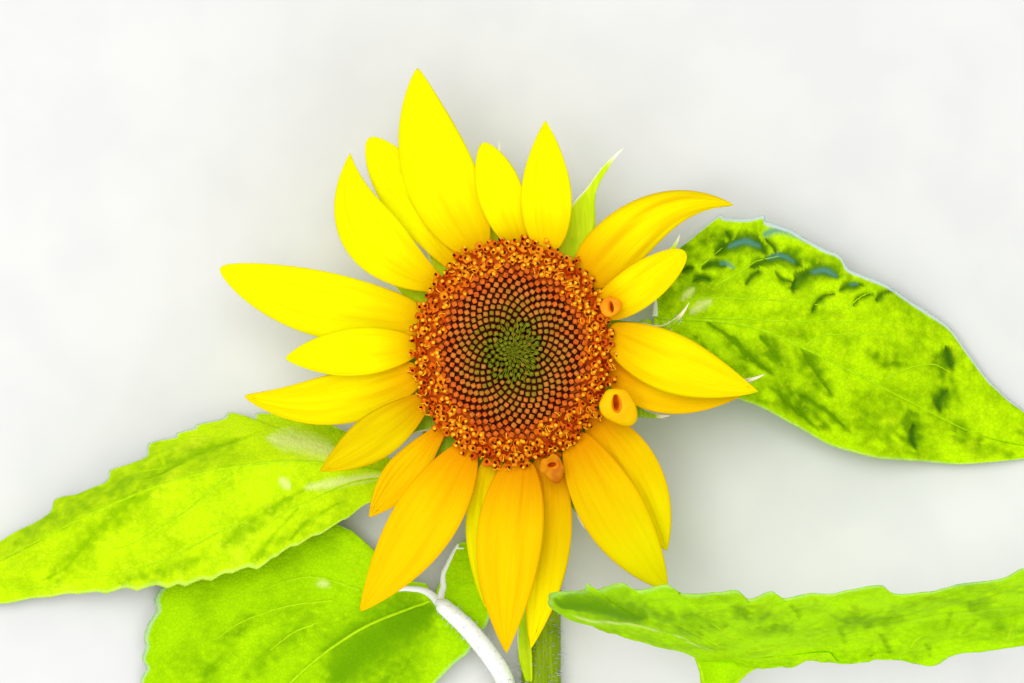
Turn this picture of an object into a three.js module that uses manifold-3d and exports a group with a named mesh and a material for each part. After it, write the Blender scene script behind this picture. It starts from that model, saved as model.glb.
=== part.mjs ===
// A cut, flowering top of a sunflower, lying on its back with the bloom facing up.
// Millimetres, +Z up. X runs to the right and Y up as one looks down on the bloom.
// The plant is modelled round the centre of its disc, with the floor at Z = 0, and is moved at
// the end so that its origin is the middle of the underside of its box.

import * as THREE from 'three';
import { mergeVertices } from 'three/addons/utils/BufferGeometryUtils.js';
import Module from 'manifold-3d';

const wasm = await Module();
wasm.setup();

// Driving dimensions.
const DISC_RX = 32; // half width of the disc at its rim
const DISC_RY = 36; // half height of the disc at its rim
const DISC_TOP = 50.6; // height of the disc's face above the floor
const DISC_RIM = 44.6; // height of the shoulder where the disc's face starts
const CUP_BASE = 28.3; // height of the underside of the green cup
const GAP = 0.3; // clearance between neighbouring pieces
const STEM_RADIUS = 6.7;
const STEM_X = 9.4;
const STEM_CUT_Y = -153; // the flat cut across the stem
const PETAL_THICKNESS = 0.9;
const LEAF_THICKNESS = 1.7;
const PETAL_LAYER = [39.7, 41, 42.3, 43.6]; // heights at the rim of the rays that lie over each other
const BRACT_THICKNESS = 0.9;
const STUD_COUNT = 48; // open florets that stand round the rim of the disc
const STUD_HEIGHT = 3.6;
const GOLDEN_ANGLE = 137.508; // turn from one floret of the disc to the next, in degrees
const LEAF_ROWS = 36; // steps along a leaf, two to each tooth of a plain margin

const COLOURS = {
  stem: 0x7d9c20,
  leaf: 0x8fcc10,
  bract: 0x86a81e,
  petal: 0xffd400,
  disc: 0x9a4a10,
};

function material(colour, roughness) {
  return new THREE.MeshStandardMaterial({ color: colour, roughness, metalness: 0 });
}

const plant = new THREE.Group();

function add(name, geometry, colour, roughness = 0.7) {
  const mesh = new THREE.Mesh(geometry, material(colour, roughness));
  mesh.name = name;
  plant.add(mesh);
  return mesh;
}

// Mesh helpers.
function rounded(value) {
  return Math.round(value * 1e6) / 1e6;
}

function welded(geometry) {
  const bare = geometry.clone();
  bare.deleteAttribute('normal');
  bare.deleteAttribute('uv');
  const merged = mergeVertices(bare, 1e-4);
  const index = merged.index.array;
  const kept = [];
  for (let i = 0; i < index.length; i += 3) {
    const corners = [index[i], index[i + 1], index[i + 2]];
    if (new Set(corners).size === 3) kept.push(...corners);
  }
  merged.setIndex(kept);
  return merged;
}

// Moves every corner of a box, cylinder or other closed shape to the place a rule gives it.
function reshaped(geometry, place) {
  const points = geometry.attributes.position;
  for (let i = 0; i < points.count; i += 1) {
    const moved = place(rounded(points.getX(i)), rounded(points.getY(i)), rounded(points.getZ(i)));
    points.setXYZ(i, moved.x, moved.y, moved.z);
  }
  return welded(geometry);
}

function toSolid(geometry) {
  const closed = welded(geometry);
  return new wasm.Manifold(new wasm.Mesh({
    numProp: 3,
    vertProperties: Float32Array.from(closed.attributes.position.array),
    triVerts: Uint32Array.from(closed.index.array),
  }));
}

function toGeometry(solid) {
  const mesh = solid.getMesh();
  const geometry = new THREE.BufferGeometry();
  geometry.setAttribute('position', new THREE.BufferAttribute(mesh.vertProperties, 3));
  geometry.setIndex(new THREE.BufferAttribute(mesh.triVerts, 1));
  return geometry;
}

// Cuts one shape by another and leaves out the crumbs.
function cutBy(geometry, space) {
  const pieces = toSolid(geometry).subtract(space).decompose();
  return toGeometry(pieces.reduce((best, piece) => (piece.volume() > best.volume() ? piece : best)));
}

function curveThrough(points) {
  const corners = points.map((p) => new THREE.Vector3(p[0], p[1], p[2] ?? 0));
  return new THREE.CatmullRomCurve3(corners, false, 'catmullrom', 0.5);
}

function mix(a, b, share) {
  return a + (b - a) * share;
}

function wedge(angle) {
  return THREE.MathUtils.degToRad(angle);
}

// The direction, right-hand side and upper side of a blade at a share u of its curve.
function bladeFrame(curve, u, up) {
  const along = curve.getTangent(THREE.MathUtils.clamp(u, 0.001, 0.999));
  const right = along.clone().cross(up).normalize();
  const normal = right.clone().cross(along);
  return { along, right, normal };
}

// A tapering round limb along a curve.
function limb(path, radii, sides, steps) {
  const curve = curveThrough(path);
  const taper = curveThrough(radii.map((radius) => [radius, 0]));
  const up = new THREE.Vector3(1, 0.02, 0.3).normalize();
  const tube = new THREE.CylinderGeometry(1, 1, 2, sides, steps);
  return reshaped(tube, (x, y, z) => {
    const u = (y + 1) / 2;
    const { right, normal } = bladeFrame(curve, u, up);
    const radius = taper.getPoint(u).x;
    return curve.getPoint(u)
      .addScaledVector(right, radius * x)
      .addScaledVector(normal, radius * z);
  });
}

// Where a ray joins the side of the oval disc.
function rimPoint(angle, clearance = 0) {
  const c = Math.cos(wedge(angle));
  const s = Math.sin(wedge(angle));
  const radius = (DISC_RX * DISC_RY) / Math.hypot(DISC_RY * c, DISC_RX * s) + clearance;
  return new THREE.Vector3(radius * c, radius * s, 0);
}

// Stem, with the neck that turns up behind the bloom.
const STEM_PATH = [
  [STEM_X, STEM_CUT_Y, STEM_RADIUS],
  [STEM_X, -122, STEM_RADIUS],
  [STEM_X, -90, STEM_RADIUS],
  [STEM_X, -58, STEM_RADIUS],
  [STEM_X, -32, STEM_RADIUS + 0.2],
  [7.6, -13, 11],
  [3, -3.6, 17.4],
  [0, 0, 23],
  [0, 0, CUP_BASE - GAP],
];
const STEM_RADII = [6.7, 6.6, 6.5, 6.4, 6.1, 6, 6.1, 6.8, 8.2];

function stem(extra = 0) {
  return limb(STEM_PATH, STEM_RADII.map((radius) => radius + extra), 14, 20);
}

// Leaf stalks. Each starts inside the stem and is cut back clear of it.
const STALKS = {
  right: {
    path: [[9, -15, 10.5], [21, -11, 11.5], [34, -1, 16], [45.6, 10.2, 21.6]],
    radii: [3.2, 2.8, 2.5, 2.2],
  },
  left: {
    path: [[9, -50, 7.5], [-4, -47, 9.5], [-22, -43, 17], [-38.3, -39.8, 23.4]],
    radii: [3.3, 2.9, 2.6, 2.3],
  },
  low: {
    path: [[7.5, -131, 7], [-1.2, -120, 9], [-3.5, -108, 12.5], [-13.5, -93.5, 17.6], [-25.4, -82.6, 16.7]],
    radii: [3.5, 3.2, 3.1, 3, 2.5],
  },
  front: {
    path: [[9.4, -147, 8], [24, -142, 14], [50, -137, 22], [68, -122, 28], [63.4, -103.4, 31]],
    radii: [3.4, 3.1, 3.1, 3.6, 3],
  },
};

function stalk({ path, radii }) {
  return cutBy(limb(path, radii, 8, 10), toSolid(stem(GAP)));
}

// Leaves. A margin lists each point of a half's edge from the stalk round to the tip: how far it
// lies along the midrib, as a share of the leaf's length, and how far out from it.
const RIGHT_LEAF_UPPER = [
  [0, 4], [0, 9.5], [0.02, 17], [0.045, 23.5], [0.08, 28], [0.12, 34.2], [0.13, 35.6], [0.136, 34.8],
  [0.16, 34.8], [0.178, 35.6], [0.192, 37.2], [0.198, 35.4], [0.235, 35], [0.262, 34], [0.3, 33.2],
  [0.335, 33.2], [0.36, 30.4], [0.4, 30.6], [0.45, 31.2], [0.5, 30.6], [0.55, 30], [0.62, 28.7],
  [0.68, 24], [0.75, 19], [0.8, 16.3], [0.87, 12], [0.94, 6], [1, 0],
];
const RIGHT_LEAF_LOWER = [
  [0, 4], [0.01, 10], [0.05, 17], [0.12, 22], [0.23, 24.2], [0.32, 24], [0.42, 24.8], [0.5, 25.2],
  [0.56, 23.5], [0.62, 21], [0.69, 16.5], [0.76, 12], [0.83, 7], [0.92, 3], [1, 0],
];
const LEFT_LEAF_UPPER = [
  [-0.025, 3.6], [0.01, 8], [0.06, 15], [0.12, 22], [0.19, 26], [0.267, 28.3], [0.277, 25.3], [0.328, 31.2],
  [0.341, 28.3], [0.393, 27.8], [0.4, 25.8], [0.438, 26], [0.445, 24], [0.503, 25.3], [0.505, 18.6],
  [0.538, 18], [0.58, 19.4], [0.584, 15.4], [0.6, 13.9], [0.65, 14], [0.705, 17.2], [0.712, 11.3],
  [0.75, 10.5], [0.8, 11], [0.86, 9], [0.93, 5], [1, 0],
];
const LEFT_LEAF_LOWER = [
  [-0.025, 3.6], [0, 7], [0.045, 12.5], [0.09, 20], [0.155, 26.3], [0.22, 29.4], [0.28, 33.3], [0.35, 34],
  [0.42, 34.6], [0.5, 34], [0.54, 32], [0.6, 28.5], [0.67, 25.5], [0.73, 21.5], [0.79, 17.8],
  [0.87, 12], [0.94, 6], [1, 0],
];
const LOW_LEAF_BROAD = [
  [0, 5.8], [0.05, 9.5], [0.095, 15], [0.114, 21], [0.122, 27], [0.133, 31.4], [0.151, 34.8],
  [0.17, 40], [0.2, 45], [0.26, 50], [0.33, 52.5], [0.4, 53.5], [0.45, 53.5], [0.482, 53],
  [0.497, 49.8], [0.524, 49.2], [0.548, 47.6], [0.562, 45.3], [0.586, 44.1], [0.597, 41.1],
  [0.623, 40.5], [0.66, 36.5], [0.71, 33.6], [0.77, 27], [0.83, 21.2], [0.92, 11.8], [1, 0],
];
// A lobe that wraps behind the stalk to the leaf's other side.
const LOW_LEAF_WRAPPED = [
  [-0.05, -7.3], [-0.12, -14.5], [-0.17, -8.3], [-0.17, 3.3], [-0.11, 13.2], [-0.03, 20.5],
  [0.08, 26.4], [0.16, 30], [0.25, 32], [0.35, 32.2], [0.45, 30.7], [0.55, 27], [0.65, 21.8],
  [0.74, 16.4], [0.83, 10.9], [0.92, 5.4], [1, 0],
];
// A broad lobe that hangs back beside the stalk.
const FRONT_LEAF_HANGING = [
  [0, 3.5], [0.003, 7], [0.038, 15.4], [0.058, 23], [0.046, 29], [0.002, 33.4], [-0.043, 39.5],
  [-0.063, 44.4], [-0.066, 49.4], [-0.06, 55], [-0.048, 60.3], [-0.01, 66], [0.045, 69.5],
  [0.085, 70], [0.128, 67.8], [0.153, 71.5], [0.143, 65.8], [0.187, 67.6], [0.19, 59.6],
  [0.229, 58.8], [0.23, 51], [0.276, 46.6], [0.303, 45.4], [0.303, 38], [0.345, 40], [0.35, 33],
  [0.392, 33], [0.422, 28.4], [0.497, 29], [0.515, 19.8], [0.571, 17.7], [0.637, 20.3],
  [0.707, 23.3], [0.745, 30], [0.81, 29], [0.88, 20], [0.95, 9], [1, 0],
];
const FRONT_LEAF_LOWER = [
  [0, 3], [0.05, 6], [0.09, 8], [0.125, 9.5], [0.19, 11], [0.215, 12.5], [0.255, 11.2],
  [0.295, 9.6], [0.317, 10.1], [0.318, 13.3], [0.323, 16.3], [0.357, 19.5], [0.395, 20],
  [0.447, 23.5], [0.466, 26], [0.503, 30], [0.534, 30.2], [0.568, 27], [0.6, 26.3],
  [0.635, 27.8], [0.685, 27], [0.735, 26], [0.8, 24], [0.88, 16], [0.95, 8], [1, 0],
];

// Each leaf has a curve for its midrib and two halves, which rise and curl away from it.
const LEAVES = {
  right: {
    spine: [
      [46.8, 11.1, 22], [77, 8.7, 21], [104, -2.3, 16.5],
      [131, -15.8, 10.5], [159, -29, 5], [189.5, -34.5, 1.6],
    ],
    up: [0, 0, 1],
    length: 158,
    fan: 1.9,
    right: { margin: RIGHT_LEAF_LOWER, tooth: 0, rise: -4, curl: 8 },
    left: { margin: RIGHT_LEAF_UPPER, tooth: 0, rise: 6, curl: -26 },
    wave: { height: 1.3, count: 3.5, phase: 0.4 },
  },
  left: {
    spine: [
      [-39.8, -39.6, 24], [-73, -35.9, 30], [-106, -40.8, 28.5],
      [-137.5, -52.7, 20.5], [-168, -68, 11], [-203, -87, 2.2],
    ],
    up: [0, 0, 1],
    length: 176,
    fan: 1.7,
    right: { margin: LEFT_LEAF_UPPER, tooth: 0, rise: -54, curl: -4 },
    left: { margin: LEFT_LEAF_LOWER, tooth: 1.1, rise: -6, curl: -8 },
    wave: { height: 1.2, count: 3, phase: 1.2 },
  },
  low: {
    spine: [
      [-26.6, -82.7, 13], [-51, -92.5, 12.8], [-73, -109, 11],
      [-89.5, -129.5, 8], [-101, -152, 5], [-108, -172, 2.2],
    ],
    up: [0, 0, 1],
    length: 131,
    fan: 2.1,
    right: { margin: LOW_LEAF_BROAD, tooth: 0, rise: -6, curl: 0 },
    left: { margin: LOW_LEAF_WRAPPED, tooth: 1.1, rise: -10, curl: 4 },
    wave: { height: 1, count: 3, phase: 2 },
  },
  front: {
    spine: [
      [62, -100.6, 32], [80, -95, 53], [107, -86.5, 69],
      [136, -80, 78], [166, -77, 83], [194, -78, 82],
    ],
    up: [0.1, 0.93, -0.36],
    length: 150,
    fan: 2.6,
    right: { margin: FRONT_LEAF_HANGING, tooth: 0, rise: 0, curl: 6 },
    left: { margin: FRONT_LEAF_LOWER, tooth: 0, rise: -4, curl: -20 },
    wave: { height: 0.3, count: 4, phase: 0.9 },
  },
};

function leaf({ spine, up, length, fan, right, left, wave }, stalkSpace) {
  const curve = curveThrough(spine);
  const upper = new THREE.Vector3(...up).normalize();
  const edges = { right: curveThrough(right.margin), left: curveThrough(left.margin) };
  const box = new THREE.BoxGeometry(2, 2, 2, 6, LEAF_ROWS, 1);
  const blade = reshaped(box, (x, y, z) => {
    const u = (y + 1) / 2;
    const half = x < 0 ? left : right;
    const edge = (x < 0 ? edges.left : edges.right).getPoint(u);
    const tooth = Math.round(u * LEAF_ROWS) % 2 === 1 ? half.tooth * Math.sin(Math.PI * u) : 0;
    const v = Math.abs(x);
    const s = mix(u ** fan, edge.x, v);
    const across = (edge.y + tooth) * v;
    const tilt = wedge(half.rise + half.curl * v * 0.5);
    const ripple = wave.height * v * v * Math.sin(2 * Math.PI * wave.count * u + wave.phase);
    const { along, right: side, normal } = bladeFrame(curve, s, upper);
    const foot = curve.getPoint(THREE.MathUtils.clamp(s, 0, 1));
    const behind = Math.min(s, 0) * length;
    return foot
      .addScaledVector(along, behind)
      .addScaledVector(side, Math.sign(x) * across * Math.cos(tilt))
      .addScaledVector(normal, Math.abs(across) * Math.sin(tilt) + ripple * Math.sin(Math.PI * u))
      .addScaledVector(normal, z * LEAF_THICKNESS * 0.5);
  });
  return cutBy(blade, stalkSpace);
}

// A solid turned about the middle of the disc and stretched to its oval.
function ovalTurning(profile, segments) {
  const lathe = new THREE.LatheGeometry(profile.map(([r, h]) => new THREE.Vector2(r, h)), segments);
  lathe.rotateX(Math.PI / 2);
  lathe.scale(1, DISC_RY / DISC_RX, 1);
  return welded(lathe);
}

// The space that the rays leave free for the disc.
const DISC_SEGMENTS = 36;
const SPACE_RADIUS = DISC_RX + GAP;
const SPACE_PROFILE = [[0, 30], [SPACE_RADIUS, 30], [SPACE_RADIUS, 60], [0, 60]];
const DISC_SPACE = toSolid(ovalTurning(SPACE_PROFILE, DISC_SEGMENTS));

// Rays. Each row gives where the ray leaves the rim, its tip, its width, where it is widest, how
// far it bows to its right, how far it hooks near its tip, how far it arches up, how far its edges
// cup, the layer it lies in and how slim it is.
const RAYS = [
  [12, [78.6, -12.7, 50], 18.6, 0.43, 1.8, 0, 3, -1.5, 2, 0.9],
  [25.5, [55.3, 32, 50], 13.6, 0.46, 1, -0.6, 2, 0.4, 3, 0.5],
  [45.8, [71, 47.2, 46], 17.2, 0.31, -4.7, -3.6, 4, -1.6, 1, 0.85],
  [71, [10.4, 74.2, 48], 16, 0.42, -0.2, 0, 2, 1, 3, 0.85],
  [87, [-9.8, 67.3, 46], 14.6, 0.5, -0.6, 0.6, 2, 0.8, 2, 0.62],
  [108.6, [-30.8, 91.3, 46], 23, 0.44, -4.2, 0, 1.6, 0.4, 1, 0.8],
  [123, [-46.6, 69.2, 42], 16.8, 0.58, -0.1, 0, 0.6, 0.6, 0, 0.6],
  [138, [-52.2, 63.8, 49], 19.2, 0.48, -7.6, -1.4, 3, 1, 1, 1],
  [161, [-94.6, 27.1, 44], 21, 0.47, -3, 0, 1.5, 1, 0, 0.64],
  [177, [-73, -2, 48], 15.2, 0.48, 0.1, 0, 2.5, 1, 1, 0.75],
  [192, [-86.7, -14.2, 43], 16.8, 0.42, -4.2, -1, 1.2, 1, 0, 0.8],
  [208, [-62, -38.2, 49], 14.6, 0.48, -1, 0, 3.4, -2, 2, 0.9],
  [227, [-46.4, -53.4, 43], 12.2, 0.55, 0.2, 0, 1, 0.8, 0, 0.9],
  [245, [-49, -83.2, 49], 20.6, 0.45, -1.1, 0, 3, 1.4, 2, 0.85],
  [259, [-9, -82.6, 42], 15, 0.45, 0, 0, 0.6, 0.6, 0, 0.9],
  [274.5, [-2, -96.4, 50], 20.8, 0.42, 1.9, 0, 3, 1.2, 2, 0.88],
  [288, [5.6, -95.8, 43], 15.8, 0.42, -2.4, 0, 1, 0.8, 0, 0.9],
  [306, [49.4, -76, 49], 20.4, 0.48, 2, 0, 3, 1.2, 2, 0.75],
  [321, [49.6, -64.4, 42], 18.2, 0.46, -2.6, 0, 0.8, 0.6, 0, 0.85],
  [350, [74, -14, 43], 17, 0.42, 2.2, 0, 0.8, 0.6, 0, 0.9],
];

function ray([at, tip, width, wide, bow, hook, arch, cup, layer, slim]) {
  const base = rimPoint(at, -1).setZ(PETAL_LAYER[layer]);
  const end = new THREE.Vector3(...tip);
  const up = new THREE.Vector3(0, 0, 1);
  const chord = end.clone().sub(base).normalize();
  const sideways = chord.clone().cross(up).normalize();
  const lean = Math.log(0.5) / Math.log(wide);
  const centre = (u) => base.clone().lerp(end, u)
    .addScaledVector(sideways, bow * 4 * u * (1 - u) + hook * 6.75 * u * u * (1 - u))
    .addScaledVector(up, arch * 4 * u * (1 - u));
  const box = new THREE.BoxGeometry(2, 2, 2, 4, 9, 1);
  const blade = reshaped(box, (x, y, z) => {
    const u = (y + 1) / 2;
    const along = centre(u + 0.01).sub(centre(u - 0.01)).normalize();
    const right = along.clone().cross(up).normalize();
    const normal = right.clone().cross(along);
    const claw = 0.3 * (1 - u) ** 4;
    const share = u === 1 ? 0 : (claw + Math.sin(Math.PI * u ** lean) ** slim) / 1.02;
    const rim = cup * x * x * Math.sin(Math.PI * u);
    return centre(u)
      .addScaledVector(right, 0.5 * width * share * x)
      .addScaledVector(normal, rim + z * PETAL_THICKNESS * 0.5);
  });
  return cutBy(blade, DISC_SPACE);
}

// Rays that stayed rolled into small trumpets.
const ROLLED = [
  { at: 333, out: 3, lift: 43, mouth: [33.2, -16.7, 53.5], foot: 2.4, lip: 6.2 },
  { at: 24.8, out: 2.6, lift: 46, mouth: [31.4, 14.5, 53], foot: 1.7, lip: 3.4 },
  { at: 289, out: 2.6, lift: 43, mouth: [12.3, -36.8, 50.5], foot: 2, lip: 4.2 },
];

function trumpet({ at, out, lift, mouth, foot, lip }) {
  const start = rimPoint(at, out).setZ(lift);
  const axis = new THREE.Vector3(...mouth).sub(start);
  const height = axis.length();
  const wall = 0.9;
  const profile = [
    [0, 0], [foot, 0], [mix(foot, lip, 0.35), height * 0.4], [lip, height],
    [lip - wall, height], [mix(foot, lip, 0.35) - wall, height * 0.45], [0, height * 0.3],
  ];
  const lathe = new THREE.LatheGeometry(profile.map(([r, h]) => new THREE.Vector2(r, h)), 12);
  const turn = new THREE.Quaternion().setFromUnitVectors(new THREE.Vector3(0, 1, 0), axis.normalize());
  lathe.applyQuaternion(turn);
  lathe.translate(start.x, start.y, start.z);
  return welded(lathe);
}

// Disc, with the open florets that stand round its rim.
const CUP_FLOOR = CUP_BASE + 2.4;
const DISC_FACE = [
  [DISC_RX, DISC_RIM], [30.6, 47.2], [27.5, 49.2], [22, 50.4], [15, DISC_TOP], [7, 50.2], [0, 49.8],
];

function faceHeight(radius) {
  for (let i = 1; i < DISC_FACE.length; i += 1) {
    const [outer, outerHeight] = DISC_FACE[i - 1];
    const [inner, innerHeight] = DISC_FACE[i];
    if (radius >= inner) return mix(innerHeight, outerHeight, (radius - inner) / (outer - inner));
  }
  return DISC_TOP;
}

function disc() {
  const body = ovalTurning([
    [0, CUP_FLOOR + GAP], [19, CUP_FLOOR + 1.2 + GAP], [27.3, CUP_FLOOR + 4.7 + GAP],
    [29.6, CUP_FLOOR + 7.4 + GAP], [DISC_RX, 39.4], ...DISC_FACE,
  ], DISC_SEGMENTS);
  let solid = toSolid(body);
  for (let i = 0; i < STUD_COUNT; i += 1) {
    const angle = i * GOLDEN_ANGLE;
    const radius = mix(23.5, 30.2, Math.sqrt((i + 0.5) / STUD_COUNT));
    const stud = new THREE.CylinderGeometry(0.9, 1.25, STUD_HEIGHT, 5, 1);
    stud.rotateX(Math.PI / 2);
    const x = radius * Math.cos(wedge(angle));
    const y = (radius * Math.sin(wedge(angle)) * DISC_RY) / DISC_RX;
    stud.translate(x, y, faceHeight(radius) + 0.3);
    solid = solid.add(toSolid(stud));
  }
  return toGeometry(solid);
}

// Green cup behind the disc, with its ring of long-tipped bracts.
const BRACT_WIDTH = 9;
const BRACTS = [
  { at: 59, tip: [35.5, 65.3, 40] }, { at: 96, tip: [-4.5, 68.8, 36.5] }, { at: 36, tip: [54.3, 38.5, 36] },
  { at: 14, tip: [57.3, 16.3, 37] }, { at: -4, tip: [81.9, -7, 38] }, { at: -20, tip: [56, -21, 37] },
  { at: -66, tip: [23.7, -57.6, 37] }, { at: -45, tip: [41, -45, 37] }, { at: -88, tip: [1, -62, 37] },
  { at: -108, tip: [-18, -56, 37] }, { at: -124, tip: [-31, -47, 38] }, { at: -143, tip: [-40, -32, 38] },
  { at: -158, tip: [-50, -18, 37] }, { at: -176, tip: [-56, -3, 37] }, { at: 165, tip: [-55, 14, 37] },
  { at: 150, tip: [-49, 29, 37] }, { at: 127, tip: [-38, 50, 37] }, { at: 77, tip: [14, 62, 37] },
];

function bract({ at, tip }) {
  const root = rimPoint(at, -4.5).setZ(CUP_BASE + 6.6);
  const knee = rimPoint(at, 5).setZ(CUP_BASE + 8);
  const end = new THREE.Vector3(...tip);
  const curve = new THREE.QuadraticBezierCurve3(root, knee, end);
  const up = new THREE.Vector3(0, 0, 1);
  const blade = new THREE.BoxGeometry(2, 2, 2, 2, 6, 1);
  return reshaped(blade, (x, y, z) => {
    const u = (y + 1) / 2;
    const { right, normal } = bladeFrame(curve, u, up);
    const share = u === 1 ? 0 : (1 - u) ** 1.15 * (1 + 0.9 * u) + 0.03;
    return curve.getPoint(u)
      .addScaledVector(right, 0.5 * BRACT_WIDTH * share * x)
      .addScaledVector(normal, z * BRACT_THICKNESS * 0.5);
  });
}

function involucre() {
  const cup = ovalTurning([
    [0, CUP_BASE], [9, CUP_BASE], [20, CUP_BASE + 1.6], [28.6, CUP_BASE + 5.2], [31.2, CUP_BASE + 9.6],
    [30, CUP_BASE + 9.8], [27.4, CUP_FLOOR + 4.4], [19, CUP_FLOOR + 1], [0, CUP_FLOOR],
  ], 32);
  let solid = toSolid(cup);
  for (const row of BRACTS) solid = solid.add(toSolid(bract(row)));
  return toGeometry(solid);
}

// Small pointed leaf on the stem, below the bloom.
const STEM_BRACT_WIDTH = 5.2;

function stemBract() {
  const curve = curveThrough([[4.1, -102, 12.1], [3.9, -96, 13.6], [4.1, -89.5, 15.2], [3.6, -83, 16.6]]);
  const up = new THREE.Vector3(-0.7, 0, 0.7).normalize();
  const blade = new THREE.BoxGeometry(2, 2, 2, 2, 6, 1);
  return reshaped(blade, (x, y, z) => {
    const u = (y + 1) / 2;
    const { right, normal } = bladeFrame(curve, u, up);
    const share = u === 1 ? 0 : Math.sin(Math.PI * (0.35 + 0.65 * u) ** 1.1) + 0.05;
    return curve.getPoint(u)
      .addScaledVector(right, STEM_BRACT_WIDTH * 0.5 * share * x)
      .addScaledVector(normal, z * BRACT_THICKNESS * 0.5);
  });
}

// Assembly.
add('stem', stem(), COLOURS.stem);
add('disc', disc(), COLOURS.disc);
add('involucre', involucre(), COLOURS.bract);
add('stem_bract', stemBract(), COLOURS.bract);
for (const [side, row] of Object.entries(STALKS)) add(`petiole_${side}`, stalk(row), COLOURS.stem);
for (const [side, row] of Object.entries(LEAVES)) {
  const { path, radii } = STALKS[side];
  const stalkSpace = toSolid(limb(path, radii.map((radius) => radius + GAP), 8, 10));
  add(`leaf_${side}`, leaf(row, stalkSpace), COLOURS.leaf);
}
RAYS.forEach((row, i) => add(`ray_${String(i + 1).padStart(2, '0')}`, ray(row), COLOURS.petal, 0.6));
ROLLED.forEach((row, i) => add(`rolled_ray_${i + 1}`, trumpet(row), COLOURS.petal, 0.6));

plant.updateMatrixWorld(true);
const box = new THREE.Box3().setFromObject(plant);
plant.position.set(-(box.min.x + box.max.x) / 2, -(box.min.y + box.max.y) / 2, -box.min.z);
plant.updateMatrixWorld(true);

export default plant;
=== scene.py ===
# A cut, flowering top of a sunflower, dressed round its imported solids.
# Shapes are worked out in millimetres from the middle of the disc, with +Z up and +Y along the
# stem towards the bloom, by the same rules as the solids. Each finished mesh is then moved to
# the frame and turned into metres.
import math
import random

import bmesh
import bpy
from mathutils import Matrix, Quaternion, Vector, kdtree, noise


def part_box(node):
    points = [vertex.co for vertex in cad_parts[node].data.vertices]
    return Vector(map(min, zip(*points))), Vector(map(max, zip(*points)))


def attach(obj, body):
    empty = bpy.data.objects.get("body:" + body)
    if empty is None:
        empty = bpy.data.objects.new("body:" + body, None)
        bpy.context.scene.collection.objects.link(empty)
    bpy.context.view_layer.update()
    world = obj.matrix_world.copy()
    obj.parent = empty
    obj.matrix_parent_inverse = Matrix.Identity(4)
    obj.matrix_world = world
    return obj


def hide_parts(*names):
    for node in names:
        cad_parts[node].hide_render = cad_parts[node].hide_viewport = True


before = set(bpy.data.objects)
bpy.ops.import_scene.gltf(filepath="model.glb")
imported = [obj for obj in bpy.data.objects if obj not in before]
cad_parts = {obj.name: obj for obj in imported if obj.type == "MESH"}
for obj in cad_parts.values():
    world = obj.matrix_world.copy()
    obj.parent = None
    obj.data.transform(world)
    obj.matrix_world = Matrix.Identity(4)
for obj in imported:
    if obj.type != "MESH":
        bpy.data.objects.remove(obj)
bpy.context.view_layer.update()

# Driving dimensions, in millimetres.
MM = 0.001
DISC_RX = 32
DISC_RY = 36
DISC_TOP = 50.6
DISC_RIM = 44.6
CUP_BASE = 28.3
CUP_FLOOR = CUP_BASE + 2.4
GAP = 0.3
STEM_RADIUS = 6.7
STEM_X = 9.4
STEM_CUT_Y = -153
PETAL_LAYER = [39.7, 41, 42.3, 43.6]
PETAL_THICKNESS = 0.4
LEAF_THICKNESS = 0.6
BRACT_THICKNESS = 0.6
BRACT_WIDTH = 9
JOIN = 0.01

# Where the camera hangs, which looks straight down on the bloom.
CAMERA_AT = Vector((-0.32, 3.36, 961))
UP = Vector((0, 0, 1))
GOLDEN_ANGLE = math.radians(137.508)

# The leaves' relief is the same in every run.
RELIEF_SEED = 5
noise.seed_set(RELIEF_SEED)

disc_low, disc_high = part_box("disc")
ORIGIN = Vector((
    (disc_low.x + disc_high.x) / 2,
    (disc_low.y + disc_high.y) / 2,
    disc_low.z - (CUP_FLOOR + GAP) * MM,
))
TO_FRAME = Matrix.Translation(ORIGIN) @ Matrix.Diagonal((MM, MM, MM, 1))


# Numbers and curves.
def mix(a, b, share):
    return a + (b - a) * share


def clamp(value, low=0.0, high=1.0):
    return min(max(value, low), high)


def smooth(low, high, value):
    share = clamp((value - low) / (high - low))
    return share * share * (3 - 2 * share)


def narrowing(foot, tip, power=1.0):
    """A radius that goes from one size at the foot of a tube to another at its tip."""
    return lambda u: mix(foot, tip, u ** power)


class Curve:
    """A smooth curve through points, each the same step of its parameter from the next."""

    def __init__(self, points):
        corners = [Vector(point) for point in points]
        self.corners = [2 * corners[0] - corners[1], *corners, 2 * corners[-1] - corners[-2]]
        self.spans = len(corners) - 1

    def point(self, u):
        place = clamp(u) * self.spans
        i = min(int(place), self.spans - 1)
        w = place - i
        a, b, c, d = self.corners[i:i + 4]
        out, into = (c - a) / 2, (d - b) / 2
        return b + w * (out + w * (3 * (c - b) - 2 * out - into + w * (2 * (b - c) + out + into)))

    def tangent(self, u):
        step = 0.0005
        return (self.point(u + step) - self.point(u - step)).normalized()

    def steps(self, count):
        return [self.point(i / count) for i in range(count + 1)]


def flat_curve(points):
    return Curve([(x, y, 0) for x, y in points])


def size_curve(sizes):
    """A size that passes through the given ones along a limb."""
    curve = Curve([(size, 0, 0) for size in sizes])
    return lambda u: curve.point(u).x


def blade_frame(curve, u, up):
    along = curve.tangent(clamp(u, 0.001, 0.999))
    right = along.cross(up).normalized()
    return along, right, right.cross(along)


def jitter(chance, amount):
    return Vector([chance.uniform(-amount, amount) for _ in range(3)])


# Materials.
def linear(tone):
    """A colour given in screen values of 0 to 255."""
    shares = [value / 255 for value in tone]
    return (*(s / 12.92 if s <= 0.04045 else ((s + 0.055) / 1.055) ** 2.4 for s in shares), 1)


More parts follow.
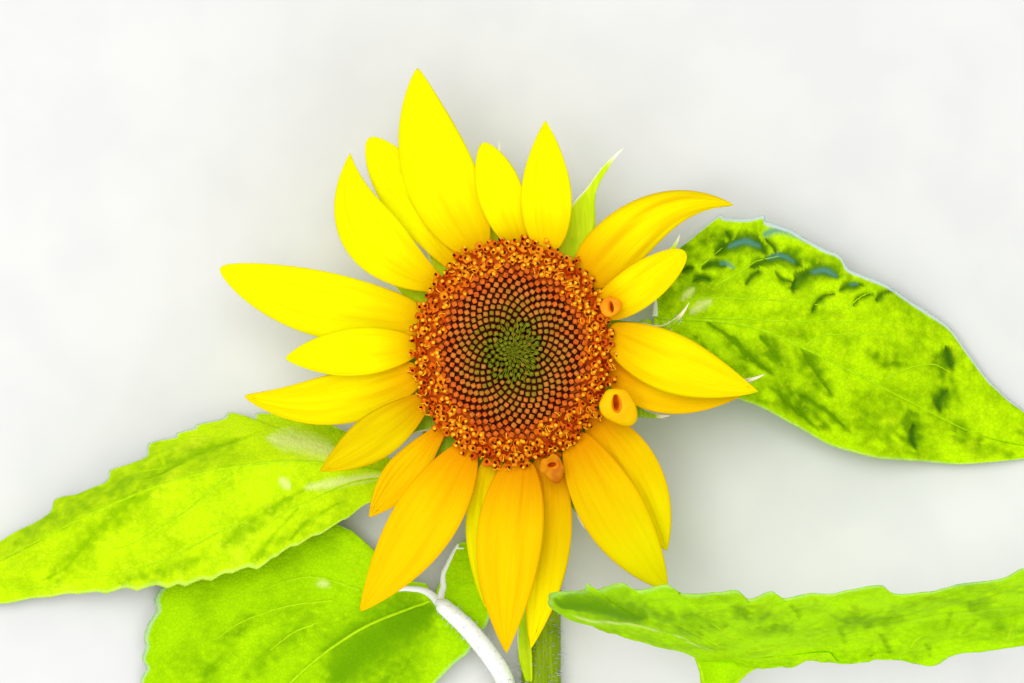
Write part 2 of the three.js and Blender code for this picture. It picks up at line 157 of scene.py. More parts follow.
class Number:
    """A number that changes over a surface. Sums on it add its nodes."""

    def __init__(self, finish, socket):
        self.finish = finish
        self.socket = socket

    def maths(self, operation, first, second=0.0):
        node = self.finish.node("ShaderNodeMath", {"operation": operation}, {0: first, 1: second})
        return Number(self.finish, node.outputs[0])

    def __add__(self, other):
        return self.maths("ADD", self, other)

    def __mul__(self, other):
        return self.maths("MULTIPLY", self, other)

    def __sub__(self, other):
        return self.maths("SUBTRACT", self, other)

    def __rsub__(self, other):
        return self.maths("SUBTRACT", other, self)

    __radd__ = __add__
    __rmul__ = __mul__

    def size(self):
        return self.maths("ABSOLUTE", self)

    def between(self, low, high):
        """0 up to low, 1 from high on, and a smooth step in between."""
        node = self.finish.node(
            "ShaderNodeMapRange", {"interpolation_type": "SMOOTHSTEP"},
            {"Value": self, "From Min": low, "From Max": high},
        )
        return Number(self.finish, node.outputs["Result"])


class Finish:
    """One material, the nodes that make it and the colour mixed for it so far."""

    def __init__(self, name, tone):
        self.material = bpy.data.materials.new(name)
        self.material.use_nodes = True
        self.tree = self.material.node_tree
        self.tree.nodes.clear()
        self.colour = linear(tone)

    def node(self, kind, settings=None, sockets=None):
        made = self.tree.nodes.new(kind)
        for name, value in (settings or {}).items():
            setattr(made, name, value)
        for name, value in (sockets or {}).items():
            value = value.socket if isinstance(value, Number) else value
            if isinstance(value, bpy.types.NodeSocket):
                self.tree.links.new(value, made.inputs[name])
            else:
                made.inputs[name].default_value = value
        return made

    def stretched(self, source, scale):
        return self.node("ShaderNodeMapping", None, {"Vector": source, "Scale": scale}).outputs[0]

    def places(self, stretch=(1, 1, 1)):
        """Places on the object in metres, stretched along each axis."""
        return self.stretched(self.node("ShaderNodeTexCoord").outputs["Object"], stretch)

    def blade_map(self):
        return self.node("ShaderNodeUVMap", {"uv_map": "blade"}).outputs[0]

    def blade(self):
        """How far across a blade and how far along it a spot lies, both from 0 to 1."""
        parts = self.node("ShaderNodeSeparateXYZ", None, {0: self.blade_map()}).outputs
        return Number(self, parts["X"]), Number(self, parts["Y"])

    def told(self, name):
        """A number that the mesh carries on each of its corners."""
        return Number(self, self.node("ShaderNodeAttribute", {"attribute_name": name}).outputs["Fac"])

    def cloud(self, places, scale, detail=3.0, roughness=0.5):
        sockets = {"Vector": places, "Scale": scale, "Detail": detail, "Roughness": roughness}
        return Number(self, self.node("ShaderNodeTexNoise", None, sockets).outputs["Fac"])

    def net(self, places, scale):
        """The distance to the lines of a net of cells."""
        settings, sockets = {"feature": "DISTANCE_TO_EDGE"}, {"Vector": places, "Scale": scale}
        return Number(self, self.node("ShaderNodeTexVoronoi", settings, sockets).outputs["Distance"])

    def over(self, share, tone):
        """Lays a tone over the colour so far, by a share that changes over the surface."""
        sockets = {0: share, 6: self.colour, 7: linear(tone)}
        self.colour = self.node("ShaderNodeMix", {"data_type": "RGBA"}, sockets).outputs[2]

    def surface(self, roughness, relief, height, glow, shine):
        """Closes the material. A glow is the share of light that comes through, and its tone."""
        bump = self.node("ShaderNodeBump", None, {"Strength": 1.0, "Distance": height, "Height": relief})
        shader = self.node("ShaderNodeBsdfPrincipled", None, {
            "Base Color": self.colour, "Roughness": roughness, "Specular IOR Level": shine,
            "Normal": bump.outputs["Normal"],
        }).outputs[0]
        if glow:
            share, tone = glow
            through = self.node("ShaderNodeBsdfTranslucent", None, {"Color": linear(tone)}).outputs[0]
            shader = self.node("ShaderNodeMixShader", None, {0: share, 1: shader, 2: through}).outputs[0]
        self.node("ShaderNodeOutputMaterial", None, {"Surface": shader})
        return self.material


# A pale painted highlight, laid on the leaves where glossy light falls on them.
LEAF_HIGHLIGHT = (244, 255, 150)
# A bluish painted reflection of the sky, where a blade turns up towards it.
LEAF_SKY_REFLECTION = (92, 156, 146)
# A pale painted rim highlight along the edges of a blade.
LEAF_RIM_HIGHLIGHT = (216, 230, 232)


def petal_finish(name, body, foot, streak, lines=0.45, tip=None):
    """Satin petal: orange towards the disc, with fine lengthwise nerves and painted shade along its rims.
    """
    finish = Finish(name, body)
    across, along = finish.blade()
    nerves = finish.cloud(finish.stretched(finish.blade_map(), (26, 0.8, 1)), 1.0, 2.0, 0.6)
    broad = finish.cloud(finish.stretched(finish.blade_map(), (4, 1.1, 1)), 1.0, 1.0)
    finish.over(nerves.between(0.5, 0.8125) * lines, streak)
    finish.over(broad.between(0.42, 0.64) * lines, streak)
    if tip:
        finish.over((along + (broad - 0.5) * 0.4).between(0.35, 0.8) * 0.9, tip)
    # Painted shade along the rims, where the petals meet.
    finish.over(((across - 0.5).size() * 2).between(0.8, 1.0) * 0.55, streak)
    finish.over((1 - (along + (nerves - 0.5) * 0.3).between(0.0, 0.42)) * 0.95, foot)
    return finish.surface(0.6, nerves, 0.0001, (0.14, body), 0.02)


def leaf_finish(name, light, deep, bright, shaded, left_rim_highlight, right_rim_highlight):
    """Fresh leaf blade: bright between its veins, with painted shade in its creases and folds, and a fine
    net.
    """
    finish = Finish(name, light)
    places = finish.places()
    net = finish.net(places, 620)
    mottle = finish.cloud(places, 62, 4.0, 0.6)
    speckle = finish.cloud(places, 330, 3.0, 0.6)
    across, _ = finish.blade()
    finish.over(mottle.between(0.5, 0.74) * 0.42, deep)
    finish.over((1 - mottle.between(0.3, 0.46)) * 0.45, bright)
    # Painted shade in the creases, between the swellings and in soft patches between the veins.
    finish.over(finish.told("crease") * 0.9, deep)
    finish.over(speckle.between(0.54, 0.7) * 0.3, bright)
    finish.over((1 - net.between(0.0, 0.07)) * 0.22, deep)
    # Painted shade in the deep folds.
    finish.over(finish.told("fold") * 0.9, shaded)
    # Painted highlights.
    finish.over(finish.told("sheen") * 0.8, LEAF_HIGHLIGHT)
    # Painted sky reflections.
    finish.over(finish.told("cool") * 0.85, LEAF_SKY_REFLECTION)
    # Painted rim highlights along both edges, stronger on one edge for some leaves.
    rim_highlights = (1 - across * 2).between(0.95, 0.975) * left_rim_highlight
    finish.over(rim_highlights + (across * 2 - 1).between(0.965, 0.985) * right_rim_highlight, LEAF_RIM_HIGHLIGHT)
    return finish.surface(0.6, net.between(0.0, 0.16), 0.00008, (0.16, light), 0.03)


def underside_finish(name, tone, vein):
    """The paler, duller back of a leaf."""
    finish = Finish(name, tone)
    places = finish.places()
    net = finish.net(places, 420)
    finish.over(finish.cloud(places, 120, 3.0).between(0.35, 0.7) * 0.5, vein)
    finish.over((1 - net.between(0.0, 0.12)) * 0.4, vein)
    return finish.surface(0.75, net.between(0.0, 0.15), 0.0002, (0.15, tone), 0.15)


def fibre_finish(name, tone, pale, deep, ribs=900, tips=None):
    """Stalks and bracts: long fibres, soft blotches and, on bracts, pale rims and tips."""
    finish = Finish(name, tone)
    fibres = finish.cloud(finish.places((1, 0.06, 1)), ribs, 3.0)
    finish.over(fibres.between(0.42, 0.66) * 0.5, pale)
    finish.over(finish.cloud(finish.places(), 70, 3.0).between(0.46, 0.7) * 0.55, deep)
    if tips:
        start, pale_tip = tips
        across, along = finish.blade()
        finish.over((0.5 - across).between(0.36, 0.46) * along.between(0.3, 0.5) * 0.8, pale_tip)
        finish.over(along.between(start, start + 0.14), pale_tip)
    return finish.surface(0.6, fibres, 0.0002, None, 0.06)


def plain_finish(name, tone, other, scale=900, roughness=0.6, shine=0.08, glow=None):
    """A small part in two near tones."""
    finish = Finish(name, tone)
    grain = finish.cloud(finish.places(), scale, 2.0)
    finish.over(grain.between(0.35, 0.65), other)
    return finish.surface(roughness, grain, 0.00008, glow, shine)


# Each finish: its tones, and the other values that the function it is made by takes.
TONES = {
    # Petal tones are lit and shaded copies of one yellow, as painted light: lemon mostly for petals towards
    # the upper left, gold and dawn towards the lower right, and dull for a petal twisted into shade.
    petal_finish: {
        "petal_lemon": ((252, 252, 0), (244, 198, 0), (238, 222, 0)),
        "petal_sun": ((254, 240, 0), (242, 180, 0), (242, 208, 0)),
        "petal_ribbed": ((252, 238, 0), (240, 176, 0), (230, 182, 0), 0.7),
        "petal_gold": ((254, 212, 0), (240, 158, 0), (248, 190, 0)),
        "petal_dawn": ((254, 216, 0), (240, 158, 0), (248, 196, 0), 0.45, (255, 244, 0)),
        "petal_dull": ((240, 214, 0), (222, 156, 0), (216, 180, 0)),
    },
    # Leaf rows end with how strong the painted rim highlight is on the left and on the right edge.
    leaf_finish: {
        "leaf_right_top": ((208, 255, 2), (100, 148, 0), (236, 255, 20), (60, 104, 12), 0.95, 0.2),
        "leaf_left_top": ((216, 255, 8), (150, 200, 0), (236, 255, 40), (120, 168, 10), 0.1, 0.7),
        "leaf_low_top": ((182, 238, 0), (124, 178, 0), (204, 252, 6), (112, 168, 0), 0.2, 0.45),
        "leaf_front_top": ((188, 246, 0), (122, 174, 0), (206, 252, 6), (106, 160, 0), 0, 0.12),
    },
    underside_finish: {"leaf_underside": ((156, 196, 84), (196, 220, 140))},
    fibre_finish: {
        "stem_skin": ((126, 156, 8), (160, 186, 34), (92, 122, 2)),
        "stalk_skin": ((168, 210, 40), (206, 230, 96), (132, 180, 16)),
        "stalk_pale_skin": ((250, 252, 248), (255, 255, 255), (232, 242, 214)),
        "bract_skin": (
            (140, 182, 18), (180, 214, 50), (90, 140, 10), 1400, (0.74, (250, 238, 206)),
        ),
        "bract_bright_skin": (
            (196, 226, 8), (224, 240, 40), (150, 196, 6), 1400, (0.8, (252, 250, 226)),
        ),
    },
    plain_finish: {
        "leaf_vein": ((186, 230, 20), (172, 218, 8), 500, 0.6, 0.03),
        "stem_pith": ((216, 224, 176), (190, 206, 130), 700, 0.7),
        "hair": ((240, 238, 252), (216, 210, 244), 900, 0.5),
        "bud_gap": ((70, 12, 2), (96, 26, 4)),
        "ring_bed": ((170, 62, 4), (208, 96, 12), 260),
        "bud_green": ((102, 110, 10), (130, 132, 24)),
        "bud_olive": ((136, 112, 14), (160, 126, 34)),
        "bud_tan": ((168, 108, 24), (190, 126, 46)),
        "bud_orange": ((184, 96, 22), (210, 124, 46)),
        "bud_ember": ((194, 82, 12), (220, 110, 34)),
        "centre_scale": ((108, 114, 10), (148, 148, 34)),
        "corolla_orange": ((222, 98, 2), (240, 128, 14)),
        "corolla_amber": ((238, 130, 6), (248, 160, 24)),
        "corolla_rust": ((200, 68, 0), (224, 94, 8)),
        "anther": ((78, 8, 2), (112, 24, 6)),
        "pollen": ((255, 196, 36), (250, 168, 20)),
        "rolled_petal": ((255, 208, 2), (250, 190, 4), 120, 0.5, 0.05, (0.15, (255, 196, 0))),
        "budded_petal": ((240, 132, 6), (250, 160, 18), 200, 0.5),
        "crumpled_petal": ((222, 140, 10), (198, 108, 8), 240, 0.5),
        # Painted shade inside a trumpet's mouth and, darker, in its throat.
        "rolled_mouth": ((236, 140, 4), (226, 120, 4), 300),
        "rolled_throat": ((206, 96, 4), (176, 66, 4), 300),
        "floor": ((226, 226, 224), (222, 222, 221), 30, 0.85, 0.1),
    },
}
FINISHES = {name: make(name, *values) for make, rows in TONES.items() for name, values in rows.items()}
BUDS = ["bud_green", "bud_olive", "bud_tan", "bud_orange", "bud_ember"]
COROLLAS = ["corolla_orange", "corolla_amber", "corolla_rust"]


# Making meshes.
def mesh_of(shape, name):
    mesh = bpy.data.meshes.new(name)
    shape.to_mesh(mesh)
    shape.free()
    return mesh


def in_scene(name, data):
    made = bpy.data.objects.new(name, data)
    bpy.context.scene.collection.objects.link(made)
    return made


def piece(name, shape, finishes, slot, *nodes):
    """Turns a shape in millimetres into a finished piece of the plant."""
    bmesh.ops.transform(shape, matrix=TO_FRAME, verts=shape.verts)
    mesh = mesh_of(shape, name)
    for finish in finishes:
        mesh.materials.append(FINISHES[finish])
    mesh.shade_smooth()
    made = in_scene(name, mesh)
    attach(made, "root")
    if nodes:
        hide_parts(*nodes)
    return made


def thicken(made, thickness, back=0):
    """Gives a blade its thickness, half above and half below, and its back a finish of its own."""
    wall = made.modifiers.new("thickness", "SOLIDIFY")
    wall.thickness = thickness * MM
    wall.offset = 0
    wall.material_offset = back


def blade_grid(columns, rows):
    """A flat grid from -1 to 1 that remembers how far across and along each corner lies."""
    shape = bmesh.new()
    bmesh.ops.create_grid(shape, x_segments=columns, y_segments=rows, size=1)
    spread = shape.loops.layers.uv.new("blade")
    for face in shape.faces:
        for loop in face.loops:
            loop[spread].uv = ((loop.vert.co.x + 1) / 2, (loop.vert.co.y + 1) / 2)
    return shape


def bent_grid(columns, rows, rule):
    """A flat grid that a rule bends, with the corners joined that meet at its ends."""
    shape = blade_grid(columns, rows)
    for vert in shape.verts:
        vert.co = rule((vert.co.y + 1) / 2, vert.co.x)
    bmesh.ops.remove_doubles(shape, verts=shape.verts, dist=JOIN)
    return shape


def lay(shape, pattern, place, finish=None):
    """Adds a copy of a small mesh and moves its corners to the places a rule gives them."""
    start, start_face = len(shape.verts), len(shape.faces)
    shape.from_mesh(pattern)
    shape.verts.ensure_lookup_table()
    for vert in shape.verts[start:]:
        vert.co = place(vert.co)
    if finish is not None:
        shape.faces.ensure_lookup_table()
        for face in shape.faces[start_face:]:
            face.material_index = finish


def cone_pattern(sides, steps=1, tip=1.0):
    """A closed cone or tube round Z, one unit long and one in radius at its foot."""
    shape = bmesh.new()
    bmesh.ops.create_cone(
        shape, cap_ends=True, segments=sides, radius1=1, radius2=tip, depth=1,
        matrix=Matrix.Translation((0, 0, 0.5)),
    )
    if steps > 1:
        upright = [edge for edge in shape.edges if abs(edge.verts[0].co.z - edge.verts[1].co.z) > 0.5]
        bmesh.ops.subdivide_edges(shape, edges=upright, cuts=steps - 1)
    return mesh_of(shape, f"cone_{sides}_{steps}")


def spun(profile, steps, join=JOIN):
    """A closed shape turned about Z from a profile of (radius, height)."""
    shape = bmesh.new()
    corners = [shape.verts.new((radius, 0, height)) for radius, height in profile]
    edges = [shape.edges.new(pair) for pair in zip(corners, corners[1:])]
    bmesh.ops.spin(
        shape, geom=corners + edges, cent=(0, 0, 0), axis=(0, 0, 1), angle=2 * math.pi,
        steps=steps, use_merge=True,
    )
    bmesh.ops.remove_doubles(shape, verts=shape.verts, dist=join)
    bmesh.ops.recalc_face_normals(shape, faces=shape.faces)
    return shape


def limb_rule(curve, radius, up):
    """Where a spot of a tube goes when it is bent along a curve and given a radius."""
    frames = {}

    def place(spot):
        u = round(clamp(spot.z), 5)
        if u not in frames:
            _, right, normal = blade_frame(curve, u, up)
            frames[u] = (curve.point(u), right, normal, radius(u))
        foot, right, normal, size = frames[u]
        return foot + size * (right * spot.x + normal * spot.y)

    return place


def ribbed(rule, ribs, depth):
    """Adds shallow lengthwise ribs to a limb."""
    def place(spot):
        angle = math.atan2(spot.y, spot.x)
        swell = 1 + depth * math.cos(ribs * angle) + depth * 0.6 * math.cos((ribs + 4) * angle + 1.7)
        return rule(Vector((spot.x * swell, spot.y * swell, spot.z)))
    return place


# The stem, with the neck that turns up behind the bloom, and the stalks of the leaves.
LIMB_UP = Vector((1, 0.02, 0.3)).normalized()
STEM_PATH = Curve([
    (STEM_X, STEM_CUT_Y, STEM_RADIUS), (STEM_X, -122, STEM_RADIUS), (STEM_X, -90, STEM_RADIUS),
    (STEM_X, -58, STEM_RADIUS), (STEM_X, -32, STEM_RADIUS + 0.2), (7.6, -13, 11), (3, -3.6, 17.4),
    (0, 0, 23), (0, 0, CUP_BASE - GAP),
])
STEM_RULE = limb_rule(STEM_PATH, size_curve((6.7, 6.6, 6.5, 6.4, 6.1, 6, 6.1, 6.8, 8.2)), LIMB_UP)
CUT_RIM = 0.9
STEM_RIBS = (9, 0.02)
STALK_RIBS = (5, 0.035)

# For each stalk: its path, its radii along it and its finish.
STALKS = {
    "right": (
        [(9, -15, 10.5), (21, -11, 11.5), (34, -1, 16), (45.6, 10.2, 21.6)],
        (3.2, 2.8, 2.5, 2.2), "bract_bright_skin",
    ),
    "left": (
        [(9, -50, 7.5), (-4, -47, 9.5), (-22, -43, 17), (-38.3, -39.8, 23.4)],
        (3.3, 2.9, 2.6, 2.3), "stalk_skin",
    ),
    "low": (
        [(7.5, -131, 7), (-1.2, -120, 9), (-3.5, -108, 12.5), (-13.5, -93.5, 17.6), (-25.4, -82.6, 16.7)],
        (3.5, 3.2, 3.1, 3, 2.5), "stalk_pale_skin",
    ),
    "front": (
        [(9.4, -147, 8), (24, -142, 14), (50, -137, 22), (68, -122, 28), (64.4, -104.4, 29)],
        (3.4, 3.1, 3.1, 3.2, 1.6), "stalk_skin",
    ),
}

# White ribs that the right and low leaves' stalks fork into, as the camera sees them: their
# radius at the foot and at the tip, and their points.
FORKS = {
    "right": [
        (1.12, 0.32, (45.4, 11.4), (43.6, 15.6), (42.4, 19)),
        (0.96, 0.24, (45, 11.6), (40.4, 13.4), (36.6, 16)),
    ],
    "low": [
        (1.84, 0.72, (-23.6, -80.4), (-26.2, -77.6), (-30, -75.9), (-36.4, -75.8), (-42, -76.6)),
        (1.6, 0.4, (-23.4, -80), (-22.4, -75), (-22.2, -70.4), (-20.2, -64), (-18.4, -60.2)),
        (0.64, 0.32, (-19.2, -61), (-17.6, -62.6), (-15.8, -62.8)),
    ],
}


def stem_piece():
    shape = bmesh.new()
    lay(shape, cone_pattern(40, 120), ribbed(STEM_RULE, *STEM_RIBS))
    shape.faces.ensure_lookup_table()
    cut = min(shape.faces, key=lambda face: face.calc_center_median().y)
    rim = bmesh.ops.inset_individual(shape, faces=[cut], thickness=CUT_RIM, depth=0)
    cut.material_index = 1
    for face in rim["faces"]:
        face.material_index = 2
    piece("stem_skin", shape, ["stem_skin", "stem_pith", "stalk_skin"], "stem", "stem")


def stalk_rule(side):
    """The rule of one stalk, which narrows quickly where its leaf begins."""
    path, radii, _ = STALKS[side]
    radius = size_curve(radii)
    return limb_rule(Curve(path), lambda u: radius(u) * mix(1, 0.3, smooth(0.95, 1, u) ** 2), LIMB_UP)


def stalk_pieces():
    pattern = cone_pattern(24, 60)
    for side, (_, _, finish) in STALKS.items():
        shape = bmesh.new()
        lay(shape, pattern, ribbed(stalk_rule(side), *STALK_RIBS))
        piece(f"stalk_{side}", shape, [finish], "stem", f"petiole_{side}")


# Leaves. A margin lists each point of a half's edge from the stalk round to the tip: how far it
# lies along the midrib, as a share of the leaf's length, and how far out from it.
RIGHT_LEAF_UPPER = [
    (0, 4), (0, 9.5), (0.02, 17), (0.045, 23.5), (0.08, 28), (0.12, 34.2), (0.13, 35.6), (0.136, 34.8),
    (0.16, 34.8), (0.178, 35.6), (0.192, 37.2), (0.198, 35.4), (0.235, 35), (0.262, 34), (0.3, 33.2),
    (0.335, 33.2), (0.36, 30.4), (0.4, 30.6), (0.45, 31.2), (0.5, 30.6), (0.55, 30), (0.62, 28.7),
    (0.68, 24), (0.75, 19), (0.8, 16.3), (0.87, 12), (0.94, 6), (1, 0),
]
RIGHT_LEAF_LOWER = [
    (0, 4), (0.01, 10), (0.05, 17), (0.12, 22), (0.23, 24.2), (0.32, 24), (0.42, 24.8), (0.5, 25.2),
    (0.56, 23.5), (0.62, 21), (0.69, 16.5), (0.76, 12), (0.83, 7), (0.92, 3), (1, 0),
]
LEFT_LEAF_UPPER = [
    (-0.025, 3.6), (0.01, 8), (0.06, 15), (0.12, 22), (0.19, 26), (0.267, 28.3), (0.277, 25.3),
    (0.328, 31.2), (0.341, 28.3), (0.393, 27.8), (0.4, 25.8), (0.438, 26), (0.445, 24), (0.503, 25.3),
    (0.505, 18.6), (0.538, 18), (0.58, 19.4), (0.584, 15.4), (0.6, 13.9), (0.65, 14), (0.705, 17.2),
    (0.712, 11.3), (0.75, 10.5), (0.8, 11), (0.86, 9), (0.93, 5), (1, 0),
]
LEFT_LEAF_LOWER = [
    (-0.025, 3.6), (0, 7), (0.045, 12.5), (0.09, 20), (0.155, 26.3), (0.22, 29.4), (0.28, 33.3),
    (0.35, 34), (0.42, 34.6), (0.5, 34), (0.54, 32), (0.6, 28.5), (0.67, 25.5), (0.73, 21.5), (0.79, 17.8),
    (0.87, 12), (0.94, 6), (1, 0),
]
LOW_LEAF_BROAD = [
    (0, 5.8), (0.05, 9.5), (0.095, 15), (0.114, 21), (0.122, 27), (0.133, 31.4), (0.151, 34.8), (0.17, 40),
    (0.2, 45), (0.26, 50), (0.33, 52.5), (0.4, 53.5), (0.45, 53.5), (0.482, 53), (0.497, 49.8),
    (0.524, 49.2), (0.548, 47.6), (0.562, 45.3), (0.586, 44.1), (0.597, 41.1), (0.623, 40.5), (0.66, 36.5),
    (0.71, 33.6), (0.77, 27), (0.83, 21.2), (0.92, 11.8), (1, 0),
]
LOW_LEAF_WRAPPED = [
    (-0.05, -7.3), (-0.12, -14.5), (-0.17, -8.3), (-0.17, 3.3), (-0.11, 13.2), (-0.03, 20.5), (0.08, 26.4),
    (0.16, 30), (0.25, 32), (0.35, 32.2), (0.45, 30.7), (0.55, 27), (0.65, 21.8), (0.74, 16.4),
    (0.83, 10.9), (0.92, 5.4), (1, 0),
]
FRONT_LEAF_HANGING = [
    (0, 3.5), (0.003, 7), (0.038, 15.4), (0.058, 23), (0.046, 29), (0.002, 33.4), (-0.043, 39.5),
    (-0.063, 44.4), (-0.066, 49.4), (-0.06, 55), (-0.048, 60.3), (-0.01, 66), (0.045, 69.5), (0.085, 70),
    (0.128, 67.8), (0.153, 71.5), (0.143, 65.8), (0.187, 67.6), (0.19, 59.6), (0.229, 58.8), (0.23, 51),
    (0.276, 46.6), (0.303, 45.4), (0.303, 38), (0.345, 40), (0.35, 33), (0.392, 33), (0.422, 28.4),
    (0.497, 29), (0.515, 19.8), (0.571, 17.7), (0.637, 20.3), (0.707, 23.3), (0.745, 30), (0.81, 29),
    (0.88, 20), (0.95, 9), (1, 0),
]
FRONT_LEAF_LOWER = [
    (0, 3), (0.05, 6), (0.09, 8), (0.125, 9.5), (0.19, 11), (0.215, 12.5), (0.255, 11.2), (0.295, 9.6),
    (0.317, 10.1), (0.318, 13.3), (0.323, 16.3), (0.357, 19.5), (0.395, 20), (0.447, 23.5), (0.466, 26),
    (0.503, 30), (0.534, 30.2), (0.568, 27), (0.6, 26.3), (0.635, 27.8), (0.685, 27), (0.735, 26),
    (0.8, 24), (0.88, 16), (0.95, 8), (1, 0),
]
TEETH = 18
TOOTH_CREST = 0.68


class Leaf:
    """The rule that bends a flat grid into one leaf. Each half gives its margin, how deep its teeth
    are, and by how many degrees it rises from the midrib and curls on from there."""

    def __init__(self, spine, up, length, fan, right, left, wave, quilt, cell, seed):
        self.spine = Curve(spine)
        self.up = Vector(up).normalized()
        self.length = length
        self.fan = fan
        self.halves = [(flat_curve(margin), *bends) for margin, *bends in (left, right)]
        self.wave = wave
        self.quilt = quilt
        self.cell = cell
        self.seed = seed

    def notch(self, u):
        """Teeth that lean towards the tip."""
        turn = u * TEETH
        share = turn % 1
        rise = share / TOOTH_CREST if share < TOOTH_CREST else (1 - share) / (1 - TOOTH_CREST)
        chance = noise.noise(Vector((int(turn) * 3.7, self.seed, 0.5)))
        return math.sin(math.pi * u) * rise ** 1.3 * (1 + 0.9 * chance)

    def stand(self, u, x):
        """A spot of the blade and the way its upper side faces there."""
        margin, tooth, rise, curl = self.halves[x >= 0]
        v, way = abs(x), math.copysign(1, x)
        edge = margin.point(u)
        s = mix(u ** self.fan, edge.x, v)
        across = (edge.y + tooth * self.notch(u) * smooth(0.6, 1, v)) * v
        tilt = math.radians(rise + curl * v * 0.5)
        height, count, phase = self.wave
        ripple = height * v * v * math.sin(2 * math.pi * count * u + phase) * math.sin(math.pi * u)
        along, side, normal = blade_frame(self.spine, s, self.up)
        spot = (
            self.spine.point(s) + along * (min(s, 0) * self.length)
            + side * (way * across * math.cos(tilt))
            + normal * (abs(across) * math.sin(tilt) + ripple)
        )
        return spot, normal * math.cos(tilt) - side * (way * math.sin(tilt))

    def place(self, u, x):
        return self.stand(u, x)[0]


# For each leaf: its midrib, the way it faces, its length, how fast its side veins fan out, its
# right and left half, the height, count and phase of its waves, how far it swells between its
# veins, how wide the swellings are, and its seed.
LEAVES = {
    "right": Leaf(
        [
            (46.8, 11.1, 22), (77, 8.7, 21), (104, -2.3, 16.5),
            (131, -15.8, 10.5), (159, -29, 5), (189.5, -34.5, 1.6),
        ],
        (0, 0, 1), 158, 1.9, (RIGHT_LEAF_LOWER, 0, -4, 8), (RIGHT_LEAF_UPPER, 0, 6, -26),
        (1.3, 3.5, 0.4), 1.5, 5.6, 1.0,
    ),
    "left": Leaf(
        [
            (-39.8, -39.6, 24), (-73, -35.9, 30), (-106, -40.8, 28.5),
            (-137.5, -52.7, 20.5), (-168, -68, 11), (-203, -87, 2.2),
        ],
        (0, 0, 1), 176, 1.7, (LEFT_LEAF_UPPER, 0, -54, -4), (LEFT_LEAF_LOWER, 1.1, -6, -8),
        (1.2, 3, 1.2), 0.8, 5.2, 2.0,
    ),
    "low": Leaf(
        [
            (-26.6, -82.7, 13), (-51, -92.5, 12.8), (-73, -109, 11),
            (-89.5, -129.5, 8), (-101, -152, 5), (-108, -172, 2.2),
        ],
        (0, 0, 1), 131, 2.1, (LOW_LEAF_BROAD, 0, -6, 0), (LOW_LEAF_WRAPPED, 1.1, -10, 4),
        (1, 3, 2), 0.8, 6.4, 3.0,
    ),
    "front": Leaf(
        [
            (62, -100.6, 32), (80, -95, 53), (107, -86.5, 69),
            (136, -80, 78), (166, -77, 83), (194, -78, 82),
        ],
        (0.1, 0.93, -0.36), 150, 2.6, (FRONT_LEAF_HANGING, 0, 0, 6), (FRONT_LEAF_LOWER, 0, -4, -20),
        (0.3, 4, 0.9), 1.1, 5.0, 4.0,
    ),
}

# What is drawn on each leaf, as the camera sees it, in millimetres in the plane of the bloom.
# Side veins and grooves are rows of points.
VEINS = {
    "right": [
        [(55, 16.6), (64.6, 17.3), (74.9, 17), (87, 16.3), (98.2, 15), (107.2, 14.1)],
        [(60.5, 11.2), (74.2, 10.6), (88.6, 9.9), (109.4, 9.6), (125.4, 8.6), (135, 6.1)],
        [(64.6, 21.1), (72.6, 25.6), (78.1, 29.1), (85.4, 30.7)],
        [(59.8, 27.5), (63.7, 30.4), (66.9, 33.3)],
        [(94.1, 2.2), (98.9, 5.1), (111, 5.8), (122.2, 4.8), (127.7, 1.3)],
        [(119, -9), (123.8, -6.1), (133.4, -3.8), (139.8, -6.4)],
        [(107.2, 14.1), (111.7, 17.9), (116.2, 19.5)],
    ],
    "left": [
        [(-89.6, -38.7), (-97.9, -45.1), (-104.3, -50.6), (-113, -56), (-121.6, -61.1), (-127.4, -63)],
        [(-85.1, -53.8), (-94.7, -57.9), (-106.6, -64.3), (-118.4, -68.8), (-129, -71.4), (-140.2, -72.3)],
        [(-145, -74.9), (-154.6, -75.5), (-163.5, -75.5)],
        [(-110.7, -37.1), (-123.5, -39.4), (-132.2, -43.2)],
        [(-113, -30.4), (-103.4, -27.2), (-91.2, -28.2)],
        [(-41.6, -40.3), (-52.2, -41.9), (-65, -47.4), (-73, -51.2), (-80.3, -57)],
    ],
    "low": [
        [(-49, -76.2), (-62.7, -72), (-74.6, -73.9), (-84.2, -77.8)],
        [(-57.6, -79.4), (-73.6, -81.6), (-87.4, -86.7), (-95.4, -92.2)],
        [(-62.7, -86.7), (-70.4, -89.9), (-77.8, -95.4)],
    ],
    "front": [
        [(74.9, -96), (84.5, -94.1), (92.5, -92.2), (100.5, -89.6), (106.2, -86.1), (120.6, -83.8)],
        [(66.2, -94.1), (59.8, -90.6), (53.4, -87.4), (47, -83.8), (42.2, -81.3)],
        [(71, -92.2), (64.6, -87.4), (59.8, -84.8)],
        [(127, -94.4), (130.2, -91.2), (136.6, -89.3), (142.4, -87.7)],
        [(158.1, -92.2), (159.4, -88.3), (160.6, -85.8)],
    ],
}
